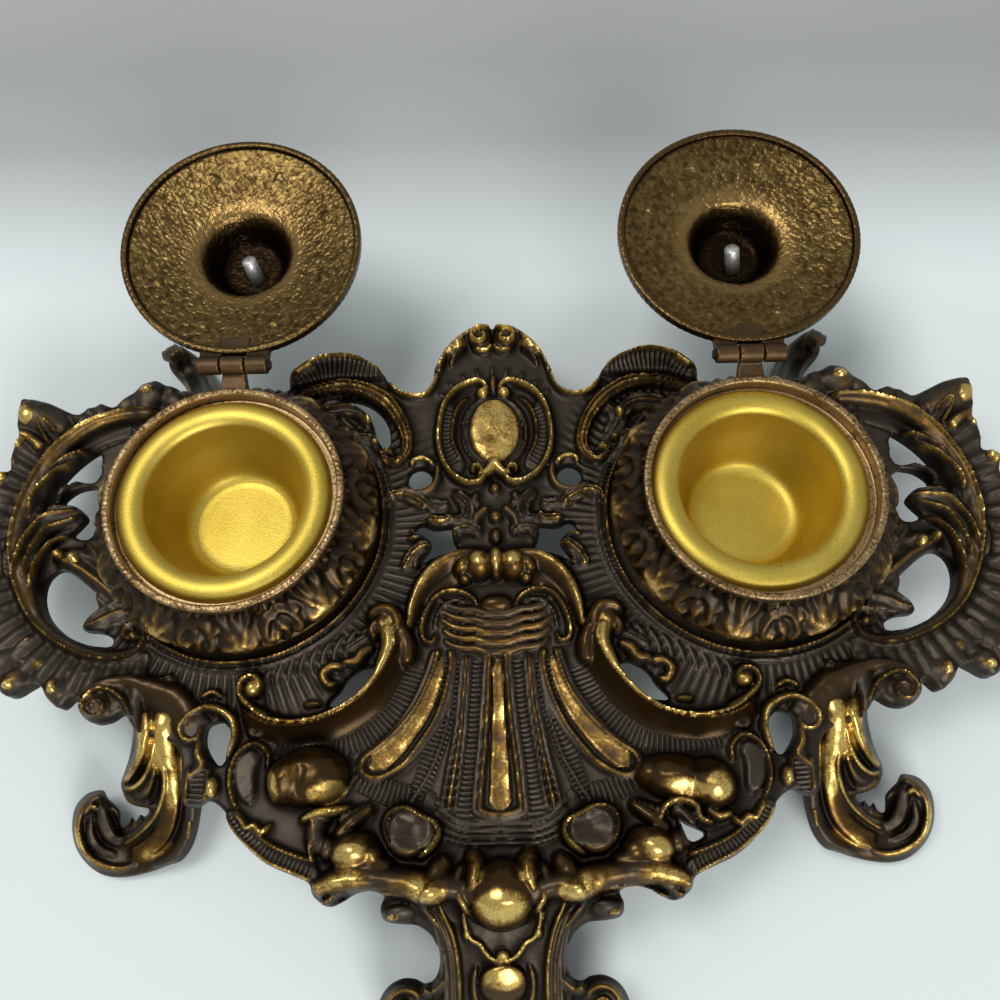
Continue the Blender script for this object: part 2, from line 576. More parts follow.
# The scroll behind each well, its spiral and the ribbed cavetto above it.
carve([(35, 49.6), (39, 50), (44, 51), (50, 51.4), (56, 50.4), (61.5, 47.4)], [2.6, 3.8, 4.6, 4.8, 4.4, 3], 2.6,
      flat_top, ease=0.0, ribs=(1.5, 1.0))
carve([(34.6, 48.8), (38.6, 52), (44.4, 54.2), (50, 54.8), (56, 53.4), (60.8, 50), (63.6, 47.6)], 0.95,
      [4.8, 5.6, 5.8, 5.4], gold=0.7, ease=0.05)
carve([(57, 52.4), (59, 51), (62, 48.6)], 2, 5.6, gold=0.5)
back_band = flow([(60, 41.4), (56, 43.2), (50, 44.4), (44, 44), (38, 42), (32.6, 38), (28.8, 32.6), (26.8, 27),
                  (26.8, 22.4), (29, 18.8), (32, 18.4), (34, 20.6), (32.6, 22.4), (31, 21.4)], 5)
carve(back_band, [1.5, 1.8, 2.1, 2.2, 2.2, 2, 1.6, 1.1, 0.9], [3.6, 4.2, 4.4, 4.2, 4, 3.8, 3.4], triple_top,
      gold=[0.3, 0.5, 0.55, 0.7, 0.75, 0.6, 0.4], ease=0.02)
carve([(54, 37), (48, 37.4), (43, 36.8), (39.6, 34), (39, 30.4)], [2.4, 3.4, 3.4, 2.6, 1.6], [2.4, 3.2, 3.6, 3.6, 3],
      leaf3, 0.3)
carve([(46.5, 24), (42, 26), (38, 26.4), (35.4, 24.6)], [3, 3, 2.2, 1.2], [2.4, 3, 3, 2.6], leaf3, 0.25)
swell((38.4, 33.6), 1.7, 2.4, 4.4, 0.75, 20)
swell((36.4, 25.4), 1.6, 1.2, 3.8, 0.4)
carve([(36, 14), (38, 19), (41, 24), (46, 29)], [1.2, 2.6, 3.4, 3.4], [1.4, 2.4, 3, 3], leaf4, 0.2)
carve([(33, 39), (38, 33), (36, 28), (33.4, 25.4)], [0.8, 2.8, 3, 1.6], [1, 2.2, 2.2, 1.6], leaf3, 0.15, sides=(1,))

# The dip between the crest and the back scrolls.
carve([(17.2, 48.6), (18.6, 44.4), (21.4, 41.2), (26, 40.7), (30.4, 42.4), (32.8, 45.8)], 0.9, [3.4, 3.2, 3.2, 3.6],
      gold=0.75, ease=0.06)
swell((19, 50.2), 1.9, 1.9, 4.8, 1)

# The crest: two curls over a smooth field, with leaf tips down its shoulders.
carve(flow([(0.6, 64.2), (5, 64), (9.6, 61.8), (13.4, 58.4), (16.4, 53.6), (18.6, 48.6)]),
      [0.9, 1.1, 1.2, 1.1, 1.3, 0.8], [4.4, 4.8, 4.8, 4.4, 4.8, 3.6], gold=[0.8, 0.8, 0.35, 0.3, 0.85, 0.3],
      ease=0.03, lean=0.5)
swell((3.8, 60.4), 3.8, 4.2, 2.6, 0, power=0.35, glaze=0.5)
carve(flow(spiral((4, 60.6), 3.1, 1, 120, -250), 3), [1.1, 0.9], [5.4, 5], gold=[1.5, 1.7, 1.4], ease=0.03)
carve([(0.4, 58.4), (1.2, 56.6), (3.4, 56), (5.6, 56.8)], 0.9, 3.2, gold=0.7)
swell((11.2, 58.2), 2.4, 2.1, 5.2, 1, -35)
swell((13.6, 56), 1.9, 1.6, 4.6, 0.9, -40)
gild((11.6, 58.2), 3.4, 2.3, 1.5, -38)
gild((17.2, 51.6), 0.9, 1.6, 0.8, -20)
for a in range(35, 150, 14):
    c, w = math.cos(math.radians(a)), math.sin(math.radians(a))
    carve([(abs(c) * 17.4, 31 + w * 16.4), (abs(c) * 20.6, 31 + w * 19.6)], 0.7, 0.9, ease=0.2,
          sides=(1,) if c > 0 else (-1,))
carve(flow([(13.4, 57.4), (15.2, 54.4), (16.4, 51.2), (16.8, 48.6)]), [1, 0.7, 0.6], [4.4, 3.6, 2.6], gold=0.8)
carve(flow([(9.6, 57.4), (12, 55), (13.4, 51.4)]), [1.4, 1.2, 0.6], [3.2, 3, 1.8], gold=0.15, glaze=0.4)

# The cartouche: a rubbed ring that curls in at both ends, round an oval plate.
carve(flow([(14.4, 36.5), (15.4, 30), (14.4, 23), (11, 17.4)]), 2.6, 1.2, flat_top, ease=0, ribs=(1.4, 0.8))
carve(flow([(2.6, 40.6), (2.4, 43.2), (5.4, 44.8), (11, 42.4), (14.9, 37.6), (16.9, 31), (17.1, 25), (15.6, 18.6),
            (12.2, 13.8), (8, 11.4), (4.4, 11.8), (2.4, 14.4)]), 0.95, [4.2, 4.6, 4.6, 4.6, 4.2], gold=1.0, ease=0.03)
carve(flow([(8.2, 39.4), (11.2, 35.6), (12.8, 30), (12.4, 24), (9.8, 19)]), 0.75, 2.6, gold=0.25)
swell((3.2, 40.8), 2.1, 2, 4.4, 0.9)
carve(flow(spiral((5.6, 15.2), 2, 0.7, 250, -20), 2), 0.7, 4.4, gold=0.9)
carve([(0, 18.2), (1.2, 15.6), (3.6, 13.4)], [2, 1.8, 1], 4.4, gold=1.2, ease=0.02)
swell((0, 28), 8.8, 11.8, 2, power=0.25)
swell((0, 28), 7.4, 10.5, 3.2, 0.82, power=0.1)
carve(spiral((0, 28), 9.6, 9.6, -90, 90) * [1, 1.22] - [0, 6.2], 0.5, 1.8, gold=0.1, ease=0.1)
swell((0, 44.4), 1.3, 3.4, 3, 0.3)
swell((0, 9.8), 1.5, 1.6, 3, 0.25)
dish((0, 12.6), 1.5, 1.5, 0.8)

# Small curls and leaves round the windows beside the middle.
carve([(18.4, 17.8), (21.6, 19.8), (24.6, 19.2), (25, 17.4)], 1, 2.4, gold=0.6)
carve([(17.4, 18.4), (17.2, 14), (19, 10.2), (24, 8.6), (28.4, 11)], [1.2, 1.2, 1.5, 1.4, 1], 2.4, gold=0.2)
carve([(19.6, 4), (23, 6.6), (27, 8.4), (31, 7.8), (31.4, 5)], [1.6, 2.4, 2.2, 1.6, 1.2], [2.4, 3.4, 3.4, 3, 2.6],
      leaf3, gold=0.35, glaze=0.4)
carve([(12.2, 9), (9.2, 6), (8.2, 2.4), (10.6, 0), (13, 1.6)], [1.6, 2.2, 2.2, 1.8, 1.2], [2, 3, 3.2, 3, 2.4], leaf3,
      0.15)
carve([(12.4, 1.6), (15, -0.4), (19.8, 0.2)], [1.2, 1.9, 1.3], 3.4, leaf3, gold=0.6)
carve([(13.4, 4.6), (17.6, 4.4), (20, 6.6)], [2, 2.6, 1.6], 2.4, leaf3, 0.1)
carve([(4.6, -4.4), (8, -2.2), (12.4, -3), (11.4, -6.6)], [1.6, 2.8, 3, 1.6], [2, 3.2, 3.2, 2.6], leaf3, gold=0.15)
carve([(25, -5.4), (21.4, -4.4), (24.4, -2.6)], 0.8, 2.2, gold=0.4)
carve([(26.5, -15), (24.4, -11.4), (21, -8.6), (17.4, -7.8)], [1.2, 2.2, 2.6, 1], [2.2, 3.2, 3.8, 3], leaf3, gold=0.5)
carve([(23.6, -14.6), (21.6, -11.2), (18.8, -11)], [1, 1.6, 0.8], 2.4, gold=0.1)
carve([(4.6, 4.6), (6.4, 6), (5.4, 8.4)], 1.2, 2, gold=0.1)
swell((0, 0.8), 2, 2.1, 3.4, 0.12)
swell((0, -5.4), 1.8, 2.6, 3, 0.1)
carve([(2.2, 3.8), (5.6, 1), (6.4, -2.6)], [1.2, 1.6, 1.2], 2.6, gold=0.15)

# The arch over the shell, with its knot, and the curl inside it.
carve(flow([(4, -12.4), (10.2, -12.6), (16, -15.4), (20.2, -20.2), (22.8, -26), (24.2, -33)]),
      [3, 3.2, 3.2, 2.9, 2.3, 1.4], [4.6, 6.4, 7, 6.6, 5.4, 3.4], outer_roll, gold=[0.1, 0.35, 0.8, 0.95, 0.95, 0.6],
      ease=0.02, glaze=0.8, lean=0.7)
carve(flow([(9.6, -19.6), (13, -18.2), (17, -21), (19.6, -26)]), [2.6, 3, 2], 1.4, flat_top, ease=0.1, glaze=0.9)
swell((5, -14.4), 4.7, 4.9, 7, 0.35, 12, 0.55, glaze=0.9)
gild((4.6, -13.4), 3, 2.4, 1.2)
swell((9.4, -14.6), 2.6, 3.6, 5.6, 0.3, 30, glaze=0.9)
swell((0, -14), 2.7, 5.4, 7.4, 0.5, power=0.6, glaze=0.8)
gild((0, -13.4), 1.8, 3, 1.1)
swell((8.8, -18.6), 1.9, 1.8, 4.4, 0.2, glaze=0.6)
carve(flow([(5.4, -26), (7.6, -23.4), (12, -21.8), (16.4, -23), (19.4, -27), (21, -32), (20.6, -36), (18.2, -37),
            (17.2, -34.6)]), [0.7, 0.9, 0.9, 0.9, 0.7], [2.6, 3.4, 3.4, 3, 2.8],
      gold=[0.2, 0.45, 0.35, 0.25, 0.45, 0.2], ease=0.05)
carve(flow([(9, -25), (13, -24.8), (16.4, -28), (17.6, -32.6)]), 0.6, 1.8, gold=0.1)

# Drapery hangs in folds from the arch.
swell((0, -25.6), 4.6, 2.4, 3, 0, power=0.4, glaze=1)
for i, tone in enumerate((0.05, 0.3, 0.5, 0.45, 0.25)):
    y = -28.8 - 2.8 * i
    carve(flow([(-0.6, y), (3.4, y + 0.3), (6.4, y + 1.3), (9.4, y + 1.4), (12.8, y + 2.3),
                (16.6 - 0.4 * i, y + 4.8 - 0.2 * i)]), [1.5, 1.5, 1.3, 1.1, 0.8], [2.1, 2.3, 2, 1.7, 1], gold=tone,
          ease=0.02, glaze=0.6, lean=-0.5)

# The shell: gilt ribs with doubled outlines, and cross-ribbed grounds between them.
for points, wide in (([(5.4, -42), (7.2, -62), (9.6, -84)], 2.6), ([(12.6, -42), (15.5, -60), (22, -78)], 2.8),
                   ([(23, -44), (28, -55), (38, -63), (50, -64.4), (60, -63)], 3.6),
                   ([(40, -72), (30, -77), (20, -79.6)], 3.4)):
    carve(flow(points), wide, 0.35, flat_top, ease=0, ribs=(1.35, 1))
for off, tall, tone in ((0.0, 1.5, 0.3), (1.5, 2.1, 0.5), (3.0, 1.4, 0.3)):
    carve(flow([(7.6 + off * 0.7, -41), (9 + off * 0.9, -60), (12 + off * 1.25, -81)]), 0.75, tall, gold=tone,
          ease=0.03)
carve(flow([(11.8, -42), (13.4, -56), (17.6, -70), (24, -80)]), 0.6, 1.3, gold=0.12, ease=0.03)
outlines = ((1.7, 2.2), (3.2, 1.5))              # how far out each outline of a strip lies, and its height
for off, tall in outlines:
    carve(flow([(0.9 + off * 0.75, -41), (1.7 + off, -60), (3.6 + off, -79), (3 + off * 0.9, -81.4 - off * 0.4),
                (0, -82 - off * 0.6)]), 0.85, tall, gold=0.4, ease=0.0)
carve([(0, -42.4), (0, -60), (0, -72), (0, -81.8)], [1.3, 1.8, 2.6, 3.4], 1.5, strip_top, gold=0.8, ease=0.05)
side_strip = flow([(15.4, -41.6), (16.6, -47), (19.4, -54), (23.6, -60.4), (28, -65.4), (34, -70.4)])
for off, tall in outlines:
    carve(flow([(15.4 + off * 0.8, -39.8), (17 + off, -47.2), (20.4 + off, -54), (25 + off * 0.9, -60),
                (30.6 + off * 0.8, -64.8), (35.4 + off * 0.5, -68.0), (36.0 + off * 0.5, -71.0 - off * 0.3),
                (33 - off * 0.1, -72.4 - off * 0.5), (27 - off * 0.8, -69.6), (21.6 - off, -62.6), (17.2 - off, -54),
                (14.2 - off * 0.7, -44), (14.2 - off * 0.5, -40)]), 0.85, tall, gold=0.42, ease=0.0)
carve(side_strip, [1, 1.6, 2, 2.5, 2.9, 3], 1.5, strip_top, gold=0.8, ease=0.05)
# The shell's lip, where it rises to the front.
for i in range(4):
    y = -84.6 - 1.7 * i
    carve(flow([(0, y), (7, y - 0.3), (13, y + 1.6 - 0.2 * i), (17, y + 5 - 0.6 * i)]), 0.7, 0.9 + 0.15 * i, gold=0.1,
          ease=0)

# The tall scroll beside the shell: a rubbed crest over a long lacquered slope.
tall_line = flow([(30.8, -32), (29.6, -37), (30.8, -42.4), (34.4, -48.6), (39.8, -53.8), (47, -57.2), (55, -58.4),
                  (62.4, -57), (67.8, -53.6)])
tall_turn = np.gradient(tall_line, axis=0)
tall_turn /= np.linalg.norm(tall_turn, axis=1)[:, None]
tall_slope = tall_line + 3.3 * np.stack([tall_turn[:, 1], -tall_turn[:, 0]], 1)
carve(tall_slope, [2.6, 3.8, 4.4, 4.6, 4.4, 4, 3.2], [6.2, 7.8, 8, 8, 7.4, 6.6, 5.2], slope_top, ease=0.02, glaze=1)
carve([(26.4, -44), (26.6, -38), (28.4, -33.4), (31.4, -30.6)], [3.2, 4, 3.6, 2.6], [5, 6.8, 7.4, 6.6], outer_roll,
      gold=0, glaze=0.9)
carve(tall_line, [2.4, 2.6, 1.4, 0.8, 0.75, 0.8, 0.7], [6.6, 8, 8.2, 8, 7.6, 6.8, 5.4],
      gold=[0.8, 1, 0.95, 0.8, 0.85, 0.9, 0.7], ease=0.02)
carve(np.vstack([flow([(62, -56.6), (68, -53.2), (71, -49.6), (70.8, -46.4)]),
                 spiral((67.6, -48.4), 3.6, 1.8, 30, 200)]), [1, 0.9], [5, 4.6, 4.2], gold=0.6, ease=0.04)
swell((67.4, -48.6), 2.7, 2.6, 4.4, 0.8)
swell((31.6, -31.4), 3.6, 4.2, 6.2, 0.1, power=0.4, glaze=0.9)
gild((29.8, -35.4), 2.2, 4.4, 1.1, -12)
gild((29.4, -31.4), 1.3, 1.6, 0.8)
carve([(27.6, -35), (27.6, -31), (29.8, -28), (33.4, -27.8), (35.4, -30)], [1.6, 1.9, 2.2, 2, 1.2],
      [5.4, 6.8, 7.2, 6.4, 5], gold=[0.4, 0.1, 0.1, 0.15], glaze=0.5)
carve([(33, -30.6), (34.6, -33.4), (33.4, -36)], [1.2, 1.5, 1], 5.6, gold=0.2)
carve([(34, -37.6), (37.4, -39.4), (39, -41.8), (43, -42)], [1.4, 2, 1.8, 1.2], [2.2, 3, 3, 2.4], gold=0.35)
carve([(42, -43.6), (45.6, -43), (48, -45.4), (46.4, -48.4), (44, -47.6)], [1.3, 1.6, 1.6, 1.4, 1],
      [2.4, 3.2, 3.2, 3, 2.4], gold=0.3)
carve([(34, -34), (38, -36), (42, -38.6)], [1.2, 1.8, 1.2], 2, leaf3, 0.1)
swell((51, -53.4), 2.4, 0.9, 2.6, 0.7)
for i in range(9):
    carve([(36 + 3.4 * i, -31 - 1.5 * i), (38.4 + 3.2 * i, -35 - 1.3 * i), (39 + 3.2 * i, -39 - 1.2 * i)],
          [0.6, 1, 0.6], 0.9, gold=0.05)

# Small scrolls over the leg slot and between the domes and the leg.
carve(np.vstack([flow([(73, -67.4), (71.4, -62), (72.4, -57), (76, -54.2), (80.4, -53.4), (84.4, -55.4)]),
                 spiral((82.6, -59.4), 3.8, 1.2, 20, -250)]), [1.1, 1.3, 1.1, 0.8], [3.0, 3.8, 3.8, 3.2], gold=0.4,
      ease=0.04)
swell((82.4, -58.8), 4, 4.2, 2.6, 0, power=0.3)
carve([(80.4, -61), (81, -65.4), (79.4, -69), (83.6, -72.4)], [1, 1.4, 1.2, 1], 3, gold=0.2)
carve([(80.2, -69.6), (80.2, -74.6), (80.6, -79.6)], 2.4, 1.6, flat_top, ease=0, ribs=(1.3, 1.2))
for x in (77.6, 82.8):
    carve([(x, -69.4), (x, -74), (x + 0.2, -78.6)], 0.8, 2.8, gold=0.2)
swell((76.2, -74.6), 1.7, 2.9, 4, 0.8)
carve(flow([(62.2, -70), (62, -66.4), (65.2, -63.4), (69.2, -65), (71.4, -69.6), (71.6, -75), (69.6, -80)]),
      [0.7, 0.8, 0.8, 0.8, 0.7], [2.8, 3.2, 3.2, 2.6], gold=0.3, ease=0.04)
carve(flow([(64.6, -66.4), (67.4, -68.4), (68, -73), (66.4, -78.6)]), [2.6, 3.4, 3.2, 2], 1.9, flat_top, gold=0.05)
carve(flow([(58, -61.4), (62, -60), (66, -61.2), (68, -59)]), 0.9, 2, gold=0.3)
carve(flow([(76, -50.6), (79, -49), (82, -50.6)]), 0.9, 2.2, gold=0.4)
carve([(90, -44.6), (94, -46.6), (98, -45.4)], [1.2, 2.2, 1.2], 2.6, leaf3, 0.2)

# Domes, petals and lobes along the front edge.
swell((46.6, -74.4), 9.8, 6.2, 7.6, 0, -8, 0.55, sides=(1,), glaze=1)
swell((40.4, -73.2), 5, 4.4, 5.2, 0, 0, 0.6, sides=(1,), glaze=1)
swell((55.4, -76.2), 7.4, 6.6, 9.2, 0, -30, 0.55, sides=(1,), glaze=0.9)
dish((52.4, -72.2), 3.4, 2, 1, sides=(1,))
gild((48.4, -77.4), 6.6, 2.3, 1.2, -12, sides=(1,))
gild((57, -77), 3.4, 4.2, 1.3, -30, sides=(1,))
swell((50.6, -72.6), 10.6, 7.6, 9, 0, -4, 0.5, sides=(-1,), glaze=1)
swell((56.6, -73.2), 5.4, 6.2, 9.6, 0, 0, 0.5, sides=(-1,), glaze=0.9)
gild((45.8, -77), 5.2, 2.8, 1.2, -16, sides=(-1,))
gild((59.8, -75), 2, 3.8, 1.2, -10, sides=(-1,))
gild((54.6, -71.8), 2.2, 2.4, 0.5, 0, sides=(-1,))
groove([(51.4, -79.4), (52.6, -75), (51.6, -70)], 1.6, 0.8, sides=(-1,))
carve([(39.6, -80.4), (43.4, -81.4), (48.8, -82), (52.4, -83.6)], [0.8, 1.4, 1.6, 0.9], [4, 6, 6, 4],
      gold=[0.3, 1.1, 0.9, 0.4], ease=0.05, sides=(-1,))
carve([(49.6, -82.6), (48.6, -86.4), (49.6, -90), (48.6, -94)], [0.9, 0.8], [4.6, 4.4, 4], gold=[0.8, 0.4, 0.6],
      ease=0.05, sides=(-1,))
carve([(40.8, -86), (43, -81.6), (47.2, -80.2), (50.8, -81.8), (51.6, -84.8), (55.4, -86.4)], [0.8, 1.1, 1.2, 0.9],
      [3.6, 5.6, 5.6, 4.4], gold=[0.4, 1.1, 0.6, 0.3], ease=0.05, sides=(1,))
carve([(53.4, -82.4), (57, -84.4), (60.6, -83.4)], [1.2, 1.6, 1], [3.6, 4.2, 3.6], gold=0.4, sides=(1,))
carve([(44.4, -84), (46.6, -83), (48.6, -86), (47.4, -90), (44.6, -91)], [1.6, 2.6, 2.6, 1.4], [3, 4.4, 4.6, 3.4],
      gold=0.05, glaze=0.3)
carve([(33.6, -80.6), (38.6, -83.6), (43.4, -88.2)], [1.2, 2.4, 1.6], [2.4, 4, 3.4], gold=0.02, glaze=0.8)
for i in range(5):
    carve([(34.6 + 1.5 * i, -79.6 - 0.5 * i), (36.4 + 1.5 * i, -82 - 0.5 * i)], 0.4, 2.2 + 0.3 * i, gold=0.1)
for x, y, rx, ry in ((21.4, -87.2, 4.8, 4.2), (25.2, -85.8, 4.6, 4.4), (24.4, -88.6, 4.8, 4.2)):
    swell((x, y), rx, ry, 7.4, power=0.14, glaze=0.12)
dish((23.4, -87), 5.2, 4.6, 2.2)
groove([(18.4, -86), (22, -85.2), (27, -83.4)], 0.9, 0.5)
carve([(21.6, -93), (18.2, -90.6), (16.2, -87.4), (17.4, -84.6), (20.4, -83.4), (24.4, -81.4), (28, -81.8),
       (30, -84.4), (29.6, -88), (27.6, -91.4)], 0.75, [6.4, 7.6, 8.6, 8.8, 8.6, 8.2, 7.2],
      gold=[0.3, 1.1, 1.2, 1.3, 0.6, 0.1, 0.02, 0.0], ease=0.06)
carve([(28, -96), (33, -94.4), (38.6, -94.8), (44, -95.6)], [2.4, 3.4, 3.4, 2], [4, 5.4, 5.6, 4], gold=0.05,
      glaze=0.9)
swell((38.4, -91.2), 6.6, 4.8, 8.2, 0.1, -10, 0.45, glaze=0.8)
swell((33.6, -92.2), 3.2, 3.4, 6.2, 0.1, 0, 0.5, glaze=0.8)
gild((39.2, -92.4), 4.6, 3, 1.1, -10)
gild((34.2, -93), 1.6, 1.6, 0.7)
swell((45.2, -90.6), 2.2, 3.2, 5, 0.1, glaze=0.5)
# The rolled lip that runs from the front ball out to each corner.
carve([(5, -103), (9.4, -101), (14, -99.8), (19, -100.4), (24.6, -98.8), (30.6, -97.8), (37, -97.6), (43, -98.6),
       (48, -100.8)], [3, 3, 3.6, 4.2, 3.6, 3.4, 3.6, 3.2, 2.2], [4.8, 5.4, 6.8, 7.8, 6.6, 6.2, 6.6, 6, 4.6],
      gold=[0.05, 0.05, 0.3, 0.9, 0.3, 0.1, 0.75, 0.8, 0.2], ease=0.01, glaze=0.45, lean=-0.3)
swell((18.4, -100.8), 4.8, 3.8, 8.2, 0.3, -12, 0.5, glaze=0.9)
gild((17.4, -102), 3.6, 2, 1.2, -12)
carve([(21, -102.6), (27, -101.4), (33, -101), (38, -102.6), (41.8, -104)], 0.7, [4.6, 4.4, 4, 3.4], gold=0.3,
      ease=0.04)
carve([(39.6, -100.6), (43, -102), (46, -104)], 0.9, 3.6, gold=0.2)
carve([(13.4, -93.4), (16, -95.6), (18.4, -98.4)], [2.6, 3.2, 2.6], [3, 4.6, 5], gold=0.05, glaze=0.8)
carve([(9.6, -94.6), (11.2, -98.6), (10.4, -102.6), (8.4, -106.6)], [1.6, 1.8, 1.4, 1], [3.4, 5.2, 5.6, 4.6],
      gold=[0.05, 0.2, 0.5], glaze=0.7)
swell((0, -102.2), 8.4, 8.8, 9.6, 0, power=0.5, glaze=1)
gild((0, -105), 6.8, 4.4, 1.3)
carve([(8.4, -91.6), (6.4, -94.6), (6.8, -98.4), (8.8, -102)], [1.6, 2.8, 2.6, 1.4], [4.4, 7.4, 7.8, 5.6],
      gold=[0, 0.1, 0.4, 0.3], glaze=0.9)
gild((5.2, -97.8), 1.2, 1.6, 0.7, 20)
swell((26.6, -106.2), 4.4, 2.6, 3, 0.1, -8)
swell((28, -107), 2, 0.9, 4, 0.5, 10)

# The neck's wavy lip and the rails that run down into the front leg.
carve([(10.4, -106.6), (9, -110), (7.2, -113.2), (4.2, -115.6), (1.6, -117.4)], 0.55, [1.6, 2.2, 2.4],
      gold=[0.3, 0.8, 0.5, 0.9])
carve([(21.4, -103.6), (17.4, -108), (14.2, -112.4), (12.2, -117.6)], 0.7, 2.6, gold=0.3)
carve([(19.2, -103.6), (15.2, -108), (12, -112.6), (10.2, -117.6)], 0.5, 1.8, gold=0.25)

# The ribbed border at the front corners.
carve(flow([(71, -82.4), (67, -87.4), (61.6, -91.8), (55, -94.6), (49, -96.6)]), 2.2, 1.4, flat_top, ease=0,
      ribs=(1.25, 1.2))
carve(flow([(72.4, -82), (69.4, -86.4), (65.4, -90), (60.6, -93.4), (54.6, -96), (49.6, -98.2)]), 0.8, 2.8, gold=0.6,
      ease=0.03)
carve(flow([(69.6, -80.6), (65.4, -85.4), (60, -89.6), (53.6, -92.2), (48, -93.8)]), 0.8, 2.6, gold=0.35, ease=0.03)
carve([(60.6, -84.4), (62.4, -86.4), (64.6, -84.6), (66.6, -85.2), (68.4, -82.6), (70, -82.4)], 1, 3.4, gold=0.6)

# The shell sinks towards its middle, and the wings' rims lift a little.
bowl = np.exp(-(((Y + 62) / 26) ** 2) - ((X / 30) ** 2))
lift = np.clip((np.abs(X) - WING_X) / 40, 0, 1) ** 2
height = height - 1.4 * bowl + 1.2 * lift
height += 0.10 * (drift[2] + drift[3])

# Hand work leaves the broad forms a little lumpy, and the wax was smoothed into the corners.
height += (0.20 * lumps(1.5) + 0.10 * lumps(0.7)) * np.clip(height / 4, 0.15, 1.3)
gilt *= 1 + 0.3 * lumps(1.1)
height += 0.5 * np.clip(blurred(height, 1.0) - height, 0, None)
height = blurred(height, 0.2) + 0.11 * rib_depth * np.sin(rib_turn)


def inside_of(loop):
    """Which grid places lie inside a closed line."""
    found = np.zeros(X.shape, bool)
    a = loop
    b = np.roll(loop, -1, axis=0)
    for r, y in enumerate(grid_y):
        hit = (a[:, 1] > y) != (b[:, 1] > y)
        if hit.any():
            p, q = a[hit], b[hit]
            xs = np.sort(p[:, 0] + (y - p[:, 1]) / (q[:, 1] - p[:, 1]) * (q[:, 0] - p[:, 0]))
            found[r] = np.searchsorted(xs, grid_x) % 2 == 1
    return found


NEAR_EDGE = 4.0                                 # beyond this, mm, an edge makes no difference


def edge_of(loops):
    """How far each grid place is from the nearest of some closed lines, and where that is."""
    gap, at_x, at_y = np.full(X.shape, 9.0), X.copy(), Y.copy()
    for loop in loops:
        for p, q in zip(loop, np.roll(loop, -1, axis=0)):
            cols = slice(*np.searchsorted(grid_x, (min(p[0], q[0]) - NEAR_EDGE, max(p[0], q[0]) + NEAR_EDGE)))
            rows = slice(*np.searchsorted(grid_y, (min(p[1], q[1]) - NEAR_EDGE, max(p[1], q[1]) + NEAR_EDGE)))
            gx, gy = X[rows, cols], Y[rows, cols]
            d = q - p
            t = np.clip(((gx - p[0]) * d[0] + (gy - p[1]) * d[1]) / max(d @ d, 1e-9), 0, 1)
            nx, ny = p[0] + t * d[0], p[1] + t * d[1]
            dist = np.hypot(gx - nx, gy - ny)
            closer = dist < gap[rows, cols]
            gap[rows, cols] = np.where(closer, dist, gap[rows, cols])
            at_x[rows, cols] = np.where(closer, nx, at_x[rows, cols])
            at_y[rows, cols] = np.where(closer, ny, at_y[rows, cols])
    return gap, at_x, at_y


def cells_of(metal, gap, at_x, at_y):
    """The grid's cells that are mostly metal, how many meet at each place, and the places,
    those on the rim moved onto the line."""
    cell = metal[:-1, :-1].astype(int) + metal[1:, :-1] + metal[:-1, 1:] + metal[1:, 1:] >= 2
    used = np.zeros(X.shape, int)
    for dr, dc in ((0, 0), (1, 0), (0, 1), (1, 1)):
        used[dr:dr + cell.shape[0], dc:dc + cell.shape[1]] += cell
    snapped = (used > 0) & (used < 4) & (gap < 1)
    return cell, used, np.where(snapped, at_x, X), np.where(snapped, at_y, Y)


metal = inside_of(outline)
for loop in holes:
    metal &= ~inside_of(loop)
edge_gap, edge_x, edge_y = edge_of([outline] + holes)


def wear_of(height, gilt):
    """What is rubbed and what lies deep in a relief."""
    fine_swell = height - blurred(height, 0.9)
    broad_swell = height - blurred(height, 3.0)
    rub = 0.84 * gilt + 0.34 * np.clip(fine_swell * 1.5 + broad_swell * 0.16 - 0.3, 0, 1)
    return np.clip(rub, 0, 1), np.clip(-broad_swell * 0.5 - fine_swell * 0.8, 0, 1)


rub, hollow = wear_of(height, gilt)
# Near a wall the casting's edge is rounded over, and the underside stays flat.
ROUND = 1.3
round_over = ROUND - np.sqrt(np.clip(ROUND ** 2 - np.clip(ROUND - edge_gap, 0, ROUND) ** 2, 0, None))
top_z = GROUND + height - round_over * np.clip((height + 2.2) / 3, 0.4, 1)

cell, used, vertex_x, vertex_y = cells_of(metal, edge_gap, edge_x, edge_y)
rim = (used > 0) & (used < 4)
top_z = np.where(rim, np.minimum(top_z, GROUND + height - ROUND * 0.9), top_z)
top_z = np.maximum(top_z, UNDER + 1.4)
# Past the front ball the casting turns down into the front leg.
neck_fall = 0.5 * np.clip(-104 - Y, 0, None) ** 1.15
top_z -= neck_fall


SHARP = 0.85                                    # radians between two faces at a sharp edge


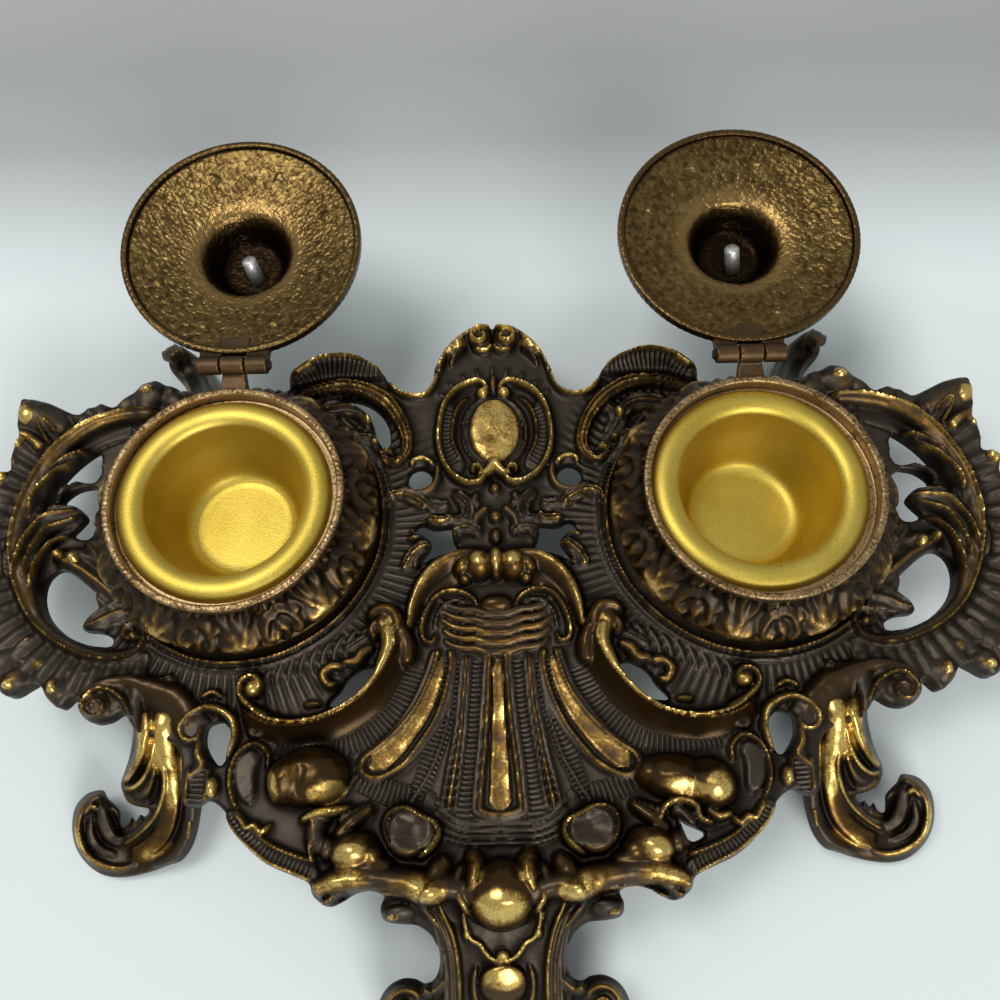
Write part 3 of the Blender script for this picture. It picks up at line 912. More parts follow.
def sheet(name, keep, top, low, inner, layers):
    """Closes a relief into a casting: the cells of keep, between a top and an underside.
    inner marks the places inside it where two sheets meet, and layers holds what the
    material reads: a field for the top and a value for the underside, or None for the same."""
    r, c = np.where(keep)
    width = X.shape[1]
    quads = np.stack([r * width + c, r * width + c + 1, (r + 1) * width + c + 1, (r + 1) * width + c], 1)
    ids, faces = np.unique(quads, return_inverse=True)
    faces = faces.reshape(quads.shape)
    count = len(ids)
    edges = np.concatenate([faces[:, [i, (i + 1) % 4]] for i in range(4)])
    key = np.sort(edges, axis=1)
    _, first, times = np.unique(key, axis=0, return_index=True, return_counts=True)
    open_edges = edges[first[times == 1]]
    walls = np.stack([open_edges[:, 1], open_edges[:, 0], open_edges[:, 0] + count, open_edges[:, 1] + count], 1)
    mesh = bpy.data.meshes.new(name)
    verts = np.vstack([top.reshape(-1, 3)[ids], low.reshape(-1, 3)[ids]]) * MM
    all_faces = np.vstack([faces, faces[:, ::-1] + count, walls])
    mesh.vertices.add(len(verts))
    mesh.vertices.foreach_set("co", verts.astype(np.float32).ravel())
    mesh.loops.add(all_faces.size)
    mesh.loops.foreach_set("vertex_index", all_faces.astype(np.int32).ravel())
    mesh.polygons.add(len(all_faces))
    mesh.polygons.foreach_set("loop_start", np.arange(0, all_faces.size, 4, dtype=np.int32))
    mesh.update(calc_edges=True)
    for layer, (field, below) in {**layers, "seam": (inner, None)}.items():
        values = mesh.attributes.new(layer, "FLOAT", "POINT")
        flat = field.ravel()[ids].astype(np.float32)
        under = flat if below is None else np.full(count, below, np.float32)
        values.data.foreach_set("value", np.concatenate([flat, under]))
    obj = placed(name, mesh)
    work = bmesh.new()
    work.from_mesh(mesh)
    bmesh.ops.remove_doubles(work, verts=work.verts, dist=0.02 * MM)
    bmesh.ops.dissolve_degenerate(work, edges=work.edges, dist=0.01 * MM)
    seam_layer = work.verts.layers.float["seam"]
    for edge in work.edges:
        if len(edge.link_faces) == 2 and edge.calc_face_angle(0) > SHARP:
            joint = all(v[seam_layer] > 0.5 for v in edge.verts)
            edge.smooth = not joint and max(v.co.z for v in edge.verts) > (UNDER + 0.3) * MM
    for face in work.faces:
        face.smooth = True
    work.to_mesh(mesh)
    work.free()
    return obj


tray_top = np.stack([vertex_x, vertex_y + WELL_Y, top_z], 2)
tray_low = np.stack([vertex_x, vertex_y + WELL_Y, UNDER - neck_fall], 2)
LAYERS = ("rub", "hollow", "lacquer", "rib_turn", "rib_depth")
tray_layers = dict(zip(LAYERS, zip((rub, hollow, lacquer, rib_turn, rib_depth), (0, 0.6, 0, 0, 0))))
middle_x = (X[:-1, :-1] + X[1:, 1:]) / 2
middle_y = (Y[:-1, :-1] + Y[1:, 1:]) / 2
tray_parts = {
    "tray_left_wing": middle_x < -WELL_X,
    "tray_right_wing": middle_x > WELL_X,
    "tray_crest": (np.abs(middle_x) <= WELL_X) & (middle_y > -20),
    "tray_shell": (np.abs(middle_x) <= WELL_X) & (middle_y <= -20) & (middle_y > -68),
    "tray_front": (np.abs(middle_x) <= WELL_X) & (middle_y <= -68)}


def noise(nodes, scale, detail=2.0, **more):
    """A cloudy pattern between 0 and 1 that is fixed to the piece."""
    return add_node(nodes, "TexNoise", Vector=spot(nodes), Scale=scale, Detail=detail, **more).outputs["Fac"]


def read_layer(nodes, name):
    """One of the values that were worked out for each place on the piece."""
    return add_node(nodes, "Attribute", attribute_name=name).outputs["Fac"]


def mixed(nodes, factor, a, b):
    return add_node(nodes, "Mix", data_type="RGBA", Factor=factor, A=a, B=b).outputs["Result"]


def maths(nodes, operation, *values):
    node = add_node(nodes, "Math", operation=operation)
    for socket, value in zip(node.inputs, values):
        fill(socket, value)
    return node.outputs[0]


def dimmed(colour, *factors):
    """A colour made darker or brighter, by one factor or by one for each part of it."""
    return tuple(min(v * f, 1) for v, f in zip(colour, factors * 3))


def bumped(nodes, shader, height, strength, distance):
    """Finishes a surface with a fine grain that only the light sees."""
    feed(shader, Normal=add_node(nodes, "Bump", Height=height, Strength=strength, Distance=distance).outputs[0])


def bronze(name, dark, brass, spots=1.0, rough=0.44, shine=0.25):
    """Patinated bronze: brown-black in the ground, brown where lacquer lies, and brass
    with dark specks where the rub attribute says that it is worn."""
    material, nodes, shader = new_material(name)
    rub, hollow, lacquer, rib_turn, rib_depth = (read_layer(nodes, each) for each in LAYERS)
    cloud = noise(nodes, 170, 3)
    grain = noise(nodes, 1150, 4, Roughness=0.7)
    pits = noise(nodes, 2100)
    # Patina, in clouds. The crests of the fine ribbing are a little rubbed.
    clouded = maths(nodes, "ADD", maths(nodes, "MULTIPLY", cloud, 0.55), maths(nodes, "MULTIPLY", grain, 0.45))
    ground = tinted(nodes, clouded, [(0.32, dimmed(dark, 0.62)), (0.52, dark), (0.72, dimmed(dark, 1.5))])
    ribbed = maths(nodes, "MULTIPLY", maths(nodes, "SINE", rib_turn), rib_depth)
    toned = add_node(nodes, "VectorMath", operation="SCALE", Scale=scaled(nodes, ribbed, -1, 1, 0.45, 1.55))
    fill(toned.inputs[0], ground)
    glazed = mixed(nodes, lacquer, toned.outputs[0], (0.054, 0.028, 0.007))
    dusky = mixed(nodes, hollow, glazed, (0.009, 0.005, 0.002))
    # Wear: first brown, then brass, broken up by specks.
    specks = maths(nodes, "ADD", scaled(nodes, grain, 0.36, 0.64, -0.20 * spots, 0.16 * spots),
                   scaled(nodes, cloud, 0.3, 0.7, -0.22, 0.14))
    worn = maths(nodes, "ADD", rub, maths(nodes, "MULTIPLY", scaled(nodes, rub, 0.25, 0.9, 0.25, 1.25), specks))
    browned = scaled(nodes, worn, 0.16, 0.5, interpolation_type="SMOOTHSTEP")
    bare = scaled(nodes, worn, 0.42, 0.84, interpolation_type="SMOOTHSTEP")
    metal = tinted(nodes, pits, [(0.25, dimmed(brass, 0.55)), (0.5, brass), (0.8, dimmed(brass, 1.3))])
    colour = mixed(nodes, bare, mixed(nodes, browned, dusky, dimmed(brass, 0.27, 0.20, 0.12)), metal)
    smooth = maths(nodes, "MAXIMUM", bare, maths(nodes, "MULTIPLY", lacquer, 0.8))
    feed(shader, Base_Color=colour, Roughness=scaled(nodes, smooth, 0, 1, rough, shine), Metallic=0.85,
         Specular_IOR_Level=0.6)
    # Bump: cast grain, and the fine cross-ribbing.
    rough_cast = scaled(nodes, maths(nodes, "MAXIMUM", bare, lacquer), 0, 1, 0.42, 0.12)
    bumped(nodes, shader, maths(nodes, "ADD", maths(nodes, "MULTIPLY", grain, rough_cast), ribbed), 0.6, 0.00022)
    return material


patina = bronze("patina_bronze", (0.053, 0.042, 0.030), (0.58, 0.40, 0.115))
for name, part in tray_parts.items():
    piece = sheet(name, cell & part, tray_top, tray_low, used == 4, tray_layers)
    piece.data.materials.append(patina)
    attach(piece, "root")
    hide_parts("tray")


# ---------- Pans under the wells ----------
# Each well stands over a round pan that is part of the tray's casting and hangs below it,
# so that the liner's bottom has room.
def traced(name, verts, edges, faces):
    """Makes a piece of places in metres, and selects it and nothing else."""
    mesh = bpy.data.meshes.new(name)
    mesh.from_pydata(verts, edges, faces)
    obj = placed(name, mesh)
    bpy.ops.object.select_all(action="DESELECT")
    bpy.context.view_layer.objects.active = obj
    obj.select_set(True)
    return obj


def moved(x, y, z=0.0):
    """A move by some mm."""
    return Matrix.Translation((x * MM, y * MM, z * MM))


MERGE = 0.00001                                 # places closer than this, m, are one


def spun(name, profile, centre_x, steps, centre_y=0.0):
    """Spins a line of (radius, height) in mm, closed or from axis to axis, into a solid."""
    count = len(profile)
    edges = [(i, i + 1) for i in range(count - 1)]
    if profile[0][0] > 0.01:
        edges.append((count - 1, 0))
    obj = traced(name, [(r * MM, 0, z * MM) for r, z in profile], edges, [])
    screw = obj.modifiers.new("lathe", "SCREW")
    screw.steps = screw.render_steps = steps
    screw.use_merge_vertices = True
    screw.merge_threshold = MERGE
    bpy.ops.object.modifier_apply(modifier="lathe")
    bpy.ops.object.mode_set(mode="EDIT")
    bpy.ops.mesh.select_all(action="SELECT")
    bpy.ops.mesh.remove_doubles(threshold=MERGE)
    bpy.ops.mesh.normals_make_consistent(inside=False)
    bpy.ops.mesh.faces_shade_smooth()
    bpy.ops.object.mode_set(mode="OBJECT")
    obj.data.transform(moved(centre_x, centre_y))
    return obj


def coords(obj):
    """The places of a piece's vertices, in metres."""
    flat = np.empty(len(obj.data.vertices) * 3, np.float32)
    obj.data.vertices.foreach_get("co", flat)
    return flat.reshape(-1, 3).astype(float)


def set_coords(obj, places):
    """Moves a piece's vertices to places in metres."""
    obj.data.vertices.foreach_set("co", places.astype(np.float32).ravel())
    obj.data.update()


def set_layer(obj, layer, values):
    """Gives each vertex of a piece a value that its material reads."""
    made = obj.data.attributes.get(layer) or obj.data.attributes.new(layer, "FLOAT", "POINT")
    made.data.foreach_set("value", np.asarray(values, np.float32))


def dense(profile, step):
    """Adds points along a line so that none are further apart than step."""
    out = []
    for p, q in zip(profile[:-1], profile[1:]):
        count = max(1, int(math.ceil(math.hypot(q[0] - p[0], q[1] - p[1]) / step)))
        out += [(p[0] + (q[0] - p[0]) * i / count, p[1] + (q[1] - p[1]) * i / count) for i in range(count)]
    return out + [profile[-1]]


def smoothed(obj, values, rounds):
    """Averages per-vertex values with their neighbours'."""
    pairs = np.empty(len(obj.data.edges) * 2, np.int32)
    obj.data.edges.foreach_get("vertices", pairs)
    a, b = pairs.reshape(-1, 2).T
    count = len(obj.data.vertices)
    degree = np.maximum(np.bincount(a, minlength=count) + np.bincount(b, minlength=count), 1)
    values = values.reshape(count, -1).astype(float)
    for _ in range(rounds):
        values = np.stack([(np.bincount(a, v[b], count) + np.bincount(b, v[a], count)) / degree for v in values.T], 1)
    return values


def wear(obj, gain=1.0, extra=0.0, limit=1.0):
    """Sets rub on all that stands proud of its surroundings and hollow on all that lies deep."""
    p = coords(obj) / MM
    normals = np.empty(len(p) * 3, np.float32)
    obj.data.vertices.foreach_get("normal", normals)
    normals = normals.reshape(-1, 3)
    fine = ((p - smoothed(obj, p, 4)) * normals).sum(1)
    broad = ((p - smoothed(obj, p, 30)) * normals).sum(1)
    proud = smoothed(obj, fine * 2.2 + broad * 0.8, 2).ravel()
    set_layer(obj, "rub", np.clip(np.clip(proud * gain, 0, limit) + extra, 0, 1))
    set_layer(obj, "hollow", np.clip(-proud * 1.3, 0, 1))


def finish_piece(obj, material, body, node):
    """Gives a piece its material and its place in the frame."""
    if not obj.data.materials:
        obj.data.materials.append(material)
    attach(obj, body)
    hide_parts(node)


PAN_R = 26.0
pan_line = dense([(0, 24), (PAN_R - 1, 24), (PAN_R, 25), (PAN_R, 29.6), (29.5, 29.9), (29.5, 28.4), (28, 27),
                  (28, 22.2), (26.6, 21), (0, 21)], 1.5)
for side, hand in HANDS:
    pan = spun(f"tray_{hand}_pan", pan_line, side * WELL_X, 120, WELL_Y)
    wear(pan, 0.6)
    finish_piece(pan, patina, "root", "tray")


# ---------- Wells ----------
# Two bulging cast bronze pots with leaf-work and rosettes round them. The lip is left coppery
# and a little battered, and the wall and ledge inside it are bright. A knuckle for the hinge
# grows from the back of the rim.
RIM_R, BULGE_R = 33.0, 40.0
WAIST_R = RIM_R - 0.4
ROSETTES = 10
neck = [(WAIST_R + (BULGE_R - WAIST_R) * (0.5 + 0.5 * math.cos(math.pi * t)), 39 + 11 * t)
        for t in np.linspace(0, 1, 26)]
pot_line = (
    [(33.5, 30), (38.2, 30)] + dense([(38.5, 30.3), (38.5, 31.6), (36.9, 33), (38.9, 36), (39.6, 37.6)], 0.5) + neck
    + dense([(32.7, 50.6), (33, 51.4), (33, 53.6), (32.7, 54), (31.3, 54), (31.0, 53.6), (31.1, 49.7), (30.9, 49.5),
             (26.8, 49.5), (26.8, 47.7), (30.2, 47.4)], 0.55)
    + dense([(31, 46), (36.6, 40.6), (37.8, 39), (36.7, 36), (33.5, 34)], 2.0))


def round_axis(obj):
    """A spun piece's places in mm, with their radius, their turn and their height."""
    p = coords(obj) / MM
    return p, np.hypot(p[:, 0], p[:, 1]), np.arctan2(p[:, 1], p[:, 0]), p[:, 2]


def cast_block(name, shapes, voxel, smooth_rounds=3):
    """Joins simple shapes into one casting: voxel remesh, then a light smoothing."""
    bpy.ops.object.select_all(action="DESELECT")
    for obj in shapes:
        obj.select_set(True)
    bpy.context.view_layer.objects.active = shapes[0]
    bpy.ops.object.join()
    obj = bpy.context.object
    obj.name = name
    obj.data.name = name
    remesh = obj.modifiers.new("cast", "REMESH")
    remesh.mode = "VOXEL"
    remesh.voxel_size = voxel * MM
    bpy.ops.object.modifier_apply(modifier="cast")
    relax = obj.modifiers.new("relax", "SMOOTH")
    relax.factor = 0.5
    relax.iterations = smooth_rounds
    bpy.ops.object.modifier_apply(modifier="relax")
    bpy.ops.object.shade_smooth()
    return obj


def bar(start, end, size0, size1):
    """A tapering rectangular bar between two places, sizes (across, deep) in mm."""
    bpy.ops.mesh.primitive_cube_add(size=1)
    obj = bpy.context.object
    start, end = Vector(start), Vector(end)
    along_bar = (end - start).normalized()
    wide = Vector((1, 0, 0))
    deep = along_bar.cross(wide).normalized()
    for v in obj.data.vertices:
        far = v.co.z > 0
        size = size1 if far else size0
        v.co = (((end if far else start) + wide * size[0] * (1 if v.co.x > 0 else -1) / 2
                 + deep * size[1] * (1 if v.co.y > 0 else -1) / 2) * MM)
    return obj


def rod(centre, r, length):
    """A round rod along X."""
    bpy.ops.mesh.primitive_cylinder_add(vertices=40, radius=r * MM, depth=length * MM, rotation=(0, math.pi / 2, 0),
                                        location=[c * MM for c in centre])
    bpy.ops.object.transform_apply(location=True, rotation=True, scale=True)
    return bpy.context.object


coppery = bronze("coppery_bronze", (0.036, 0.025, 0.015), (0.53, 0.36, 0.115), 1.0, 0.38, 0.26)
worn_copper = bronze("worn_copper", (0.075, 0.046, 0.022), (0.38, 0.255, 0.12), 1.5, 0.48, 0.38)
KNUCKLE_W, KNUCKLE_R, PIN_Z = 6.5, 2.7, 55.5    # the hinge's knuckle, and the height of its pin
LEDGE_Z, LEDGE_R = 49.3, 26.9                   # just under and outside the ledge that a liner rests on
# Carved lines on each bay of a pot, in (along, height) mm, with half widths and height.
pot_strokes = (
    ([(6.6, 35), (8.6, 38), (7.2, 42), (9.4, 45.6), (12, 45), (11.4, 42.6)], [0.6, 1.1, 1.2, 0.8], 1.5),
    ([(-6.6, 35), (-8.8, 38.4), (-7, 41.6), (-8.6, 45.4), (-11.6, 46.4)], [0.6, 1.1, 1.2, 0.8], 1.5),
    ([(0.4, 45.6), (0, 48), (0.6, 50.2)], [1.9, 1.6, 0.7], 1.9),
    ([(-2.6, 45.6), (-4.2, 47.6), (-4.4, 50)], [1.4, 1.3, 0.6], 1.6),
    ([(2.8, 45.6), (4.4, 47.4), (4.8, 50)], [1.4, 1.3, 0.6], 1.6),
    ([(8, 47.4), (7.4, 48.8), (8, 50.2)], [1.2, 1.2, 0.8], 1.5),
    ([(-8, 48.2), (-7.6, 50.4)], [1.1, 0.8], 1.4),
    ([(-11.6, 38), (-11.2, 42.6)], [1.0, 1.6], 1.7),
    ([(11, 34.6), (12, 38.6)], [1.6, 1.0], 1.6),
    ([(-4.4, 34.4), (-6.4, 36.8)], [1.4, 0.9], 1.3),
    ([(4.2, 34.2), (6, 36.6)], [1.4, 0.9], 1.3))
pot_beads = ((10.2, 48.4, 1.2), (-10.6, 49, 1.1), (9.8, 40.8, 1.2), (-11.8, 35.8, 1.2), (6.2, 39.4, 0.9),
             (-5.9, 44.8, 1.0))
for side, hand in HANDS:
    pot = spun(f"{hand}_pot", pot_line, 0, 420)
    p, r, turn, z = round_axis(pot)
    turn = turn - math.radians(219 if side > 0 else -47)
    outer = (z < 51) & (z > 32.6) & (r > 31.9 + (51 - z) * 0.2)
    # Each bay has a six-petalled rosette, which leans a little and stands a little high or low.
    bay = 2 * math.pi / ROSETTES
    number = np.round(turn / bay)
    wobble = np.sin(number * 2.3)
    local = (turn / bay - number) * bay * 38
    up = z - 41.2 - 0.5 * wobble
    tilt = 0.25 * wobble
    a, b = local * np.cos(tilt) + up * np.sin(tilt), up * np.cos(tilt) - local * np.sin(tilt)
    rose_r = np.hypot(a / 5.6, b / 5.9)
    petals = np.cos(6 * np.arctan2(b, a) + number) * np.clip(rose_r * 2 - 0.3, 0, 1)
    rose = np.clip(1 - rose_r ** 2, 0, 1) ** 0.4 * (1.9 + 0.55 * petals)
    chasing = 0.35 * np.sin(a * 2.3 + number) * np.sin(b * 2.6 + number * 2) * (rose_r < 0.9)
    rose += 0.9 * np.exp(-(rose_r / 0.28) ** 2) + chasing
    strokes = []
    for points, wide, tall in pot_strokes:
        dist, _, at, length = along(flow(points, 4), local, z)
        strokes.append(tall * np.sqrt(np.clip(1 - (dist / spread(wide, at / length)) ** 2, 0, 1)))
    beads = sum(1.8 * np.clip(1 - ((local - across) ** 2 + (z - high) ** 2) / bead_r ** 2, 0, 1) ** 0.5
                for across, high, bead_r in pot_beads)
    foot_leaves = 0.9 * np.abs(np.sin(turn * 20)) ** 0.6 * np.clip((35.4 - z) / 1.0, 0, 1)
    relief = np.where(outer, np.maximum.reduce([rose, beads] + strokes) + foot_leaves - 0.7, 0)
    relief = smoothed(pot, np.clip(relief, -0.7, 40.8 - r), 1).ravel()
    on_lip = (z > 50.6) & (r > 31.2)
    battered = 0.10 * np.sin(turn * 37 + z) * np.sin(turn * 91 + 2) + 0.08 * np.sin(turn * 151)
    p[:, :2] *= (1 + np.where(outer, relief, 0) / r)[:, None]
    p[:, 2] += np.where(on_lip, battered, 0)
    set_coords(pot, p * MM)
    rose_gold = np.clip(rose / 2.6, 0, 1) ** 2.6 * (0.56 + 0.24 * wobble)
    golden = np.where(outer, rose_gold + 0.2 * np.clip(beads, 0, 1), 0)
    golden += np.where(on_lip, 0.3, 0) + np.where((z > LEDGE_Z) & (z < 53.8) & (r < 31.5) & (r > LEDGE_R), 0.95, 0)
    wear(pot, 0.55, golden, 0.42)
    set_layer(pot, "lacquer", np.where(outer, 0.35 + 0.3 * np.sin(turn * 7 + z), 0))
    pot.data.materials.append(coppery)
    pot.data.materials.append(worn_copper)
    lip = (z > LEDGE_Z) & (r > LEDGE_R)
    for face in pot.data.polygons:
        face.material_index = int(all(lip[v] for v in face.vertices))
    pot.data.transform(moved(side * WELL_X, WELL_Y))
    at_x, at_y = side * WELL_X, WELL_Y + PIN_Y
    knuckle = cast_block(f"{hand}_pot_knuckle", [
        rod((at_x, at_y, PIN_Z), KNUCKLE_R, KNUCKLE_W),
        bar((at_x, WELL_Y + 32.2, 51.5), (at_x, at_y - 0.6, 53.3), (8, 3), (KNUCKLE_W - 0.3, 3)),
        bar((at_x, WELL_Y + 32.2, 49.4), (at_x, WELL_Y + 36.6, 52.6), (7.6, 4.5), (6.2, 3.4))], 0.3)
    wear(knuckle, 0.5, 0.22)
    finish_piece(pot, coppery, "root", f"{hand}_well")
    finish_piece(knuckle, worn_copper, "root", f"{hand}_well")


# ---------- Liners ----------
# Spun brass ink bowls with a rolled rim, gilt and left satin. They drop into the wells.
gilding, nodes, shader = new_material("satin_gilding")
cloud, grain = noise(nodes, 70, 3), noise(nodes, 1700)
powder = maths(nodes, "MULTIPLY_ADD", grain, 0.45, maths(nodes, "MULTIPLY", cloud, 0.55))
satin = tinted(nodes, powder, [(0.3, (0.46, 0.325, 0.040)), (0.5, (0.55, 0.405, 0.070)), (0.7, (0.64, 0.48, 0.10))])
# A few brown specks, where the clouds are thick.
cells = add_node(nodes, "TexVoronoi", Vector=spot(nodes), Scale=210).outputs["Distance"]
specks = maths(nodes, "MULTIPLY", tinted(nodes, cells, [(0, 1), (0.045, 1), (0.075, 0)]),
               tinted(nodes, cloud, [(0.55, 0), (0.62, 0.8)]))
feed(shader, Base_Color=mixed(nodes, specks, satin, (0.22, 0.13, 0.02)), Metallic=1, Roughness=0.47)
bumped(nodes, shader, grain, 0.5, 0.00012)

LINER_R, MOUTH_R, FLOOR_R = 29.9, 22.2, 13.9    # the rolled rim, the mouth inside it, and the floor
ROLL_Z, ROLL_H = 52.3, 2.8                      # the rolled rim's top and its height
FLOOR_Z = ROLL_Z - 24.5
LINER_WALL = 0.8


def curved(points, steps):
    """A smooth line through all of the points, as a list of (radius, height)."""
    return [tuple(place) for place in flow(points, steps).tolist()]


def liner_wall(out):
    """One face of the liner's sheet, from the rim's outside to the middle of the floor.
    out is how far into the sheet it lies."""
    crown, half = (LINER_R + MOUTH_R) / 2, (LINER_R - MOUTH_R) / 2
    under_roll = ROLL_Z - ROLL_H
    roll = [(crown + (half - out) * math.cos(a), under_roll + (ROLL_H - out) * math.sin(a))
            for a in np.linspace(0, math.pi, 25)]
    bowl = curved([(MOUTH_R + out, under_roll - 0.6), (MOUTH_R - 0.3 + out, under_roll - 3.5),
                   (MOUTH_R - 1.1 + out, under_roll - 8), (FLOOR_R + 5 + out, FLOOR_Z + 7.5),
                   (FLOOR_R + 3.5 + out * 0.9, FLOOR_Z + 3.4), (FLOOR_R + 2 + out * 0.7, FLOOR_Z + 1.1 - out * 0.6),
                   (FLOOR_R + out * 0.2, FLOOR_Z - out)], 5)
    return roll + bowl + [(r, FLOOR_Z - out) for r in (12, 8, 4, 0)]


# Each lies in its well a little to the left and back.
for side, hand in HANDS:
    liner = spun(f"{hand}_ink_bowl", liner_wall(0) + liner_wall(LINER_WALL)[::-1], side * WELL_X - 0.7, 180,
                 WELL_Y + 0.35)
    finish_piece(liner, gilding, "root", f"{hand}_liner")


# ---------- Lids ----------
# Domed cast lids that lie right back on their hinges. Their undersides are left as cast,
# pebbled like hammer work, with a hollow cup in the middle and a thin raised rim.
LID_OPEN = math.radians(175)
UNDER_LID = 54.3                                # height of a closed lid's rim
CUP_H = 18.5                                    # from there to the top of its cup


def lid_rest(obj, side):
    """Carries a piece drawn closed, round the axis of a well, to where it lies at rest."""
    obj.data.transform(moved(side * WELL_X, WELL_Y) @ moved(0, PIN_Y, PIN_Z) @ Matrix.Rotation(-LID_OPEN, 4, "X")
                       @ moved(0, -PIN_Y, -PIN_Z) @ moved(0, 0, UNDER_LID))


lid_top = curved([(36, 0.2), (36, 2.8), (35, 3.7), (31, 4.9), (26, 6.4), (20, 8), (16, 10), (13.4, 13), (11.4, 16.2),
                  (8.6, 18), (5, CUP_H)], 6)
lid_bottom = curved([(5, 16.5), (8.8, 16.1), (11, 13), (12.4, 9.5), (13.8, 6.9), (16, 5.7), (19, 4.9), (25, 3.6),
                     (31, 2.0), (33.2, 1.45)], 8)
lid_line = ([(35.8, 0), (36, 0.2)] + dense(lid_top, 0.55)[1:] + [(0, CUP_H), (0, 16.5)]
            + dense(lid_bottom, 0.5) + [(34.1, 1.4), (34.2, 0.9), (34.2, 0.2), (34.4, 0)])
LUG_W, LUG_GAP = 6.5, 0.3
MARK_R = 26.5                                   # the ring of eight drops on the underside
mark_turns = np.radians([22, 67, 112, 157, 202, 247, 292, 337])

hammered, nodes, shader = new_material("pebbled_bronze")
pebble, cloud = noise(nodes, 540, 2.5, Roughness=0.5, Distortion=0.6), noise(nodes, 60, 3)
pebbled = maths(nodes, "MULTIPLY_ADD", pebble, 0.75, maths(nodes, "MULTIPLY", cloud, 0.25))
raw = tinted(nodes, pebbled, [(0.34, (0.056, 0.030, 0.009)), (0.5, (0.128, 0.080, 0.024)),
                              (0.68, (0.24, 0.155, 0.054))])
darker = mixed(nodes, read_layer(nodes, "hollow"), raw, (0.012, 0.006, 0.002))
brighter = mixed(nodes, read_layer(nodes, "rub"), darker, (0.36, 0.22, 0.075))
feed(shader, Base_Color=brighter, Metallic=0.95, Roughness=0.31)
bumped(nodes, shader, pebble, 0.9, 0.0005)

for side, hand in HANDS:
    cover = spun(f"{hand}_lid_shell", lid_line, 0, 360)
    p, r, turn, z = round_axis(cover)
    under_side = (z < np.interp(r, *zip(*sorted(lid_bottom))) + 0.9) & (r < 34)
    top_side = ~under_side & (r < 35.6) & (r > 5)
    x, y = p[:, 0], p[:, 1]
    pebbles = np.sin(x * 2.9 + 1.3 * np.sin(y * 1.7)) * np.sin(y * 3.3 + 1.1 * np.sin(x * 2.1))
    lift_in = 0.13 * pebbles * np.clip((r - 15) / 4, 0, 1) * np.clip((33.4 - r) / 2, 0, 1)
    marks = sum(0.45 * np.clip(1 - ((r * np.cos(turn) - MARK_R * math.cos(a)) ** 2
                                    + (r * np.sin(turn) - MARK_R * math.sin(a)) ** 2) / 2.3, 0, 1) ** 0.35
                for a in mark_turns)
    # Leaves and ribs over the top of the dome.
    leaf_turn = (turn / (2 * math.pi) * 16) % 1 - 0.5
    leaves = 0.9 * np.sqrt(np.clip(1 - (leaf_turn / 0.46) ** 2, 0, 1)) - 0.5 * np.exp(-(leaf_turn / 0.06) ** 2)
    leaves *= np.clip((r - 11) / 3, 0, 1) * np.clip((33 - r) / 2, 0, 1)
    edge_ribs = 0.06 * np.cos(turn * 108) * np.clip((r - 32.5) / 1.5, 0, 1)
    edge = ~under_side & (r > 33)
    p[:, 2] += np.where(under_side, -lift_in - marks, 0) + np.where(top_side, 0.7 * leaves, 0)
    p[:, :2] *= (1 + np.where(edge, edge_ribs - 0.3, 0) / np.maximum(r, 1))[:, None]
    set_coords(cover, p * MM)
    # A pale ring round the cup, and a dark cup, rim and top.
    ring_rub = np.where(under_side, 0.55 * np.exp(-((r - 16) / 2.4) ** 2), 0)
    wear(cover, 0.15, np.where((r > 34.1) & (z < 0.6), 0.1, 0) + ring_rub, 0.12)
    deep = np.where(under_side & (r < 14), np.clip((z - 6.3) / 4, 0, 0.93), 0) + np.where(r > 33.6, 0.7, 0)
    old = np.empty(len(p), np.float32)
    cover.data.attributes["hollow"].data.foreach_get("value", old)
    set_layer(cover, "hollow", np.clip(np.where(top_side, 0.85, 0.3 * old) + deep, 0, 1))
    lid_rest(cover, side)
    finish_piece(cover, hammered, f"{hand}_lid_group", f"{hand}_lid")

    pin_up = PIN_Z - UNDER_LID
    lugs = []
    for start in (KNUCKLE_W / 2 + LUG_GAP, -KNUCKLE_W / 2 - LUG_GAP - LUG_W):
        mid = start + LUG_W / 2
        lugs += [rod((mid, PIN_Y, pin_up), KNUCKLE_R - 0.1, LUG_W - 0.3),
                 bar((mid * 0.97, 31.5, 3.2), (mid, PIN_Y, pin_up + 0.5), (LUG_W + 0.8, 2.8), (LUG_W - 0.9, 3.6))]
    lugs.append(bar((0, 30, 2.3), (0, 35.4, 1.4), (8.5, 1.6), (7.4, 1.9)))
    hinge_lugs = cast_block(f"{hand}_lid_lugs", lugs, 0.3)
    wear(hinge_lugs, 0.5, 0.16)
    lid_rest(hinge_lugs, side)
    finish_piece(hinge_lugs, worn_copper, f"{hand}_lid_group", f"{hand}_lid")


# ---------- Finials ----------
# A cast bud on each lid, screwed down by the stud whose end shows in the cup.
bud_line = curved([(0, 0), (4.9, 0), (5, 0.6), (3.7, 1.6), (3.0, 2.6), (3.2, 3.6), (4.6, 5.6), (5.1, 8), (4.6, 10.4),
                   (3, 12), (1.9, 13), (2.1, 13.8), (1.6, 15.2), (0, 16)], 8)
rubbed = bronze("rubbed_bronze", (0.050, 0.038, 0.026), (0.60, 0.41, 0.11), 0.8)
for side, hand in HANDS:
    bud = spun(f"{hand}_bud", bud_line, 0, 96)
    p, _, turn, z = round_axis(bud)
    lobes = 0.07 * np.cos(turn * 8 + z * 0.5) * np.clip((z - 3) / 2, 0, 1) * np.clip((12 - z) / 2, 0, 1)
    p[:, :2] *= (1 + lobes)[:, None]
    p[:, 2] += CUP_H
    set_coords(bud, p * MM)
    wear(bud, 0.8, 0.15)
    lid_rest(bud, side)
    finish_piece(bud, rubbed, f"{hand}_lid_group", f"{hand}_finial")


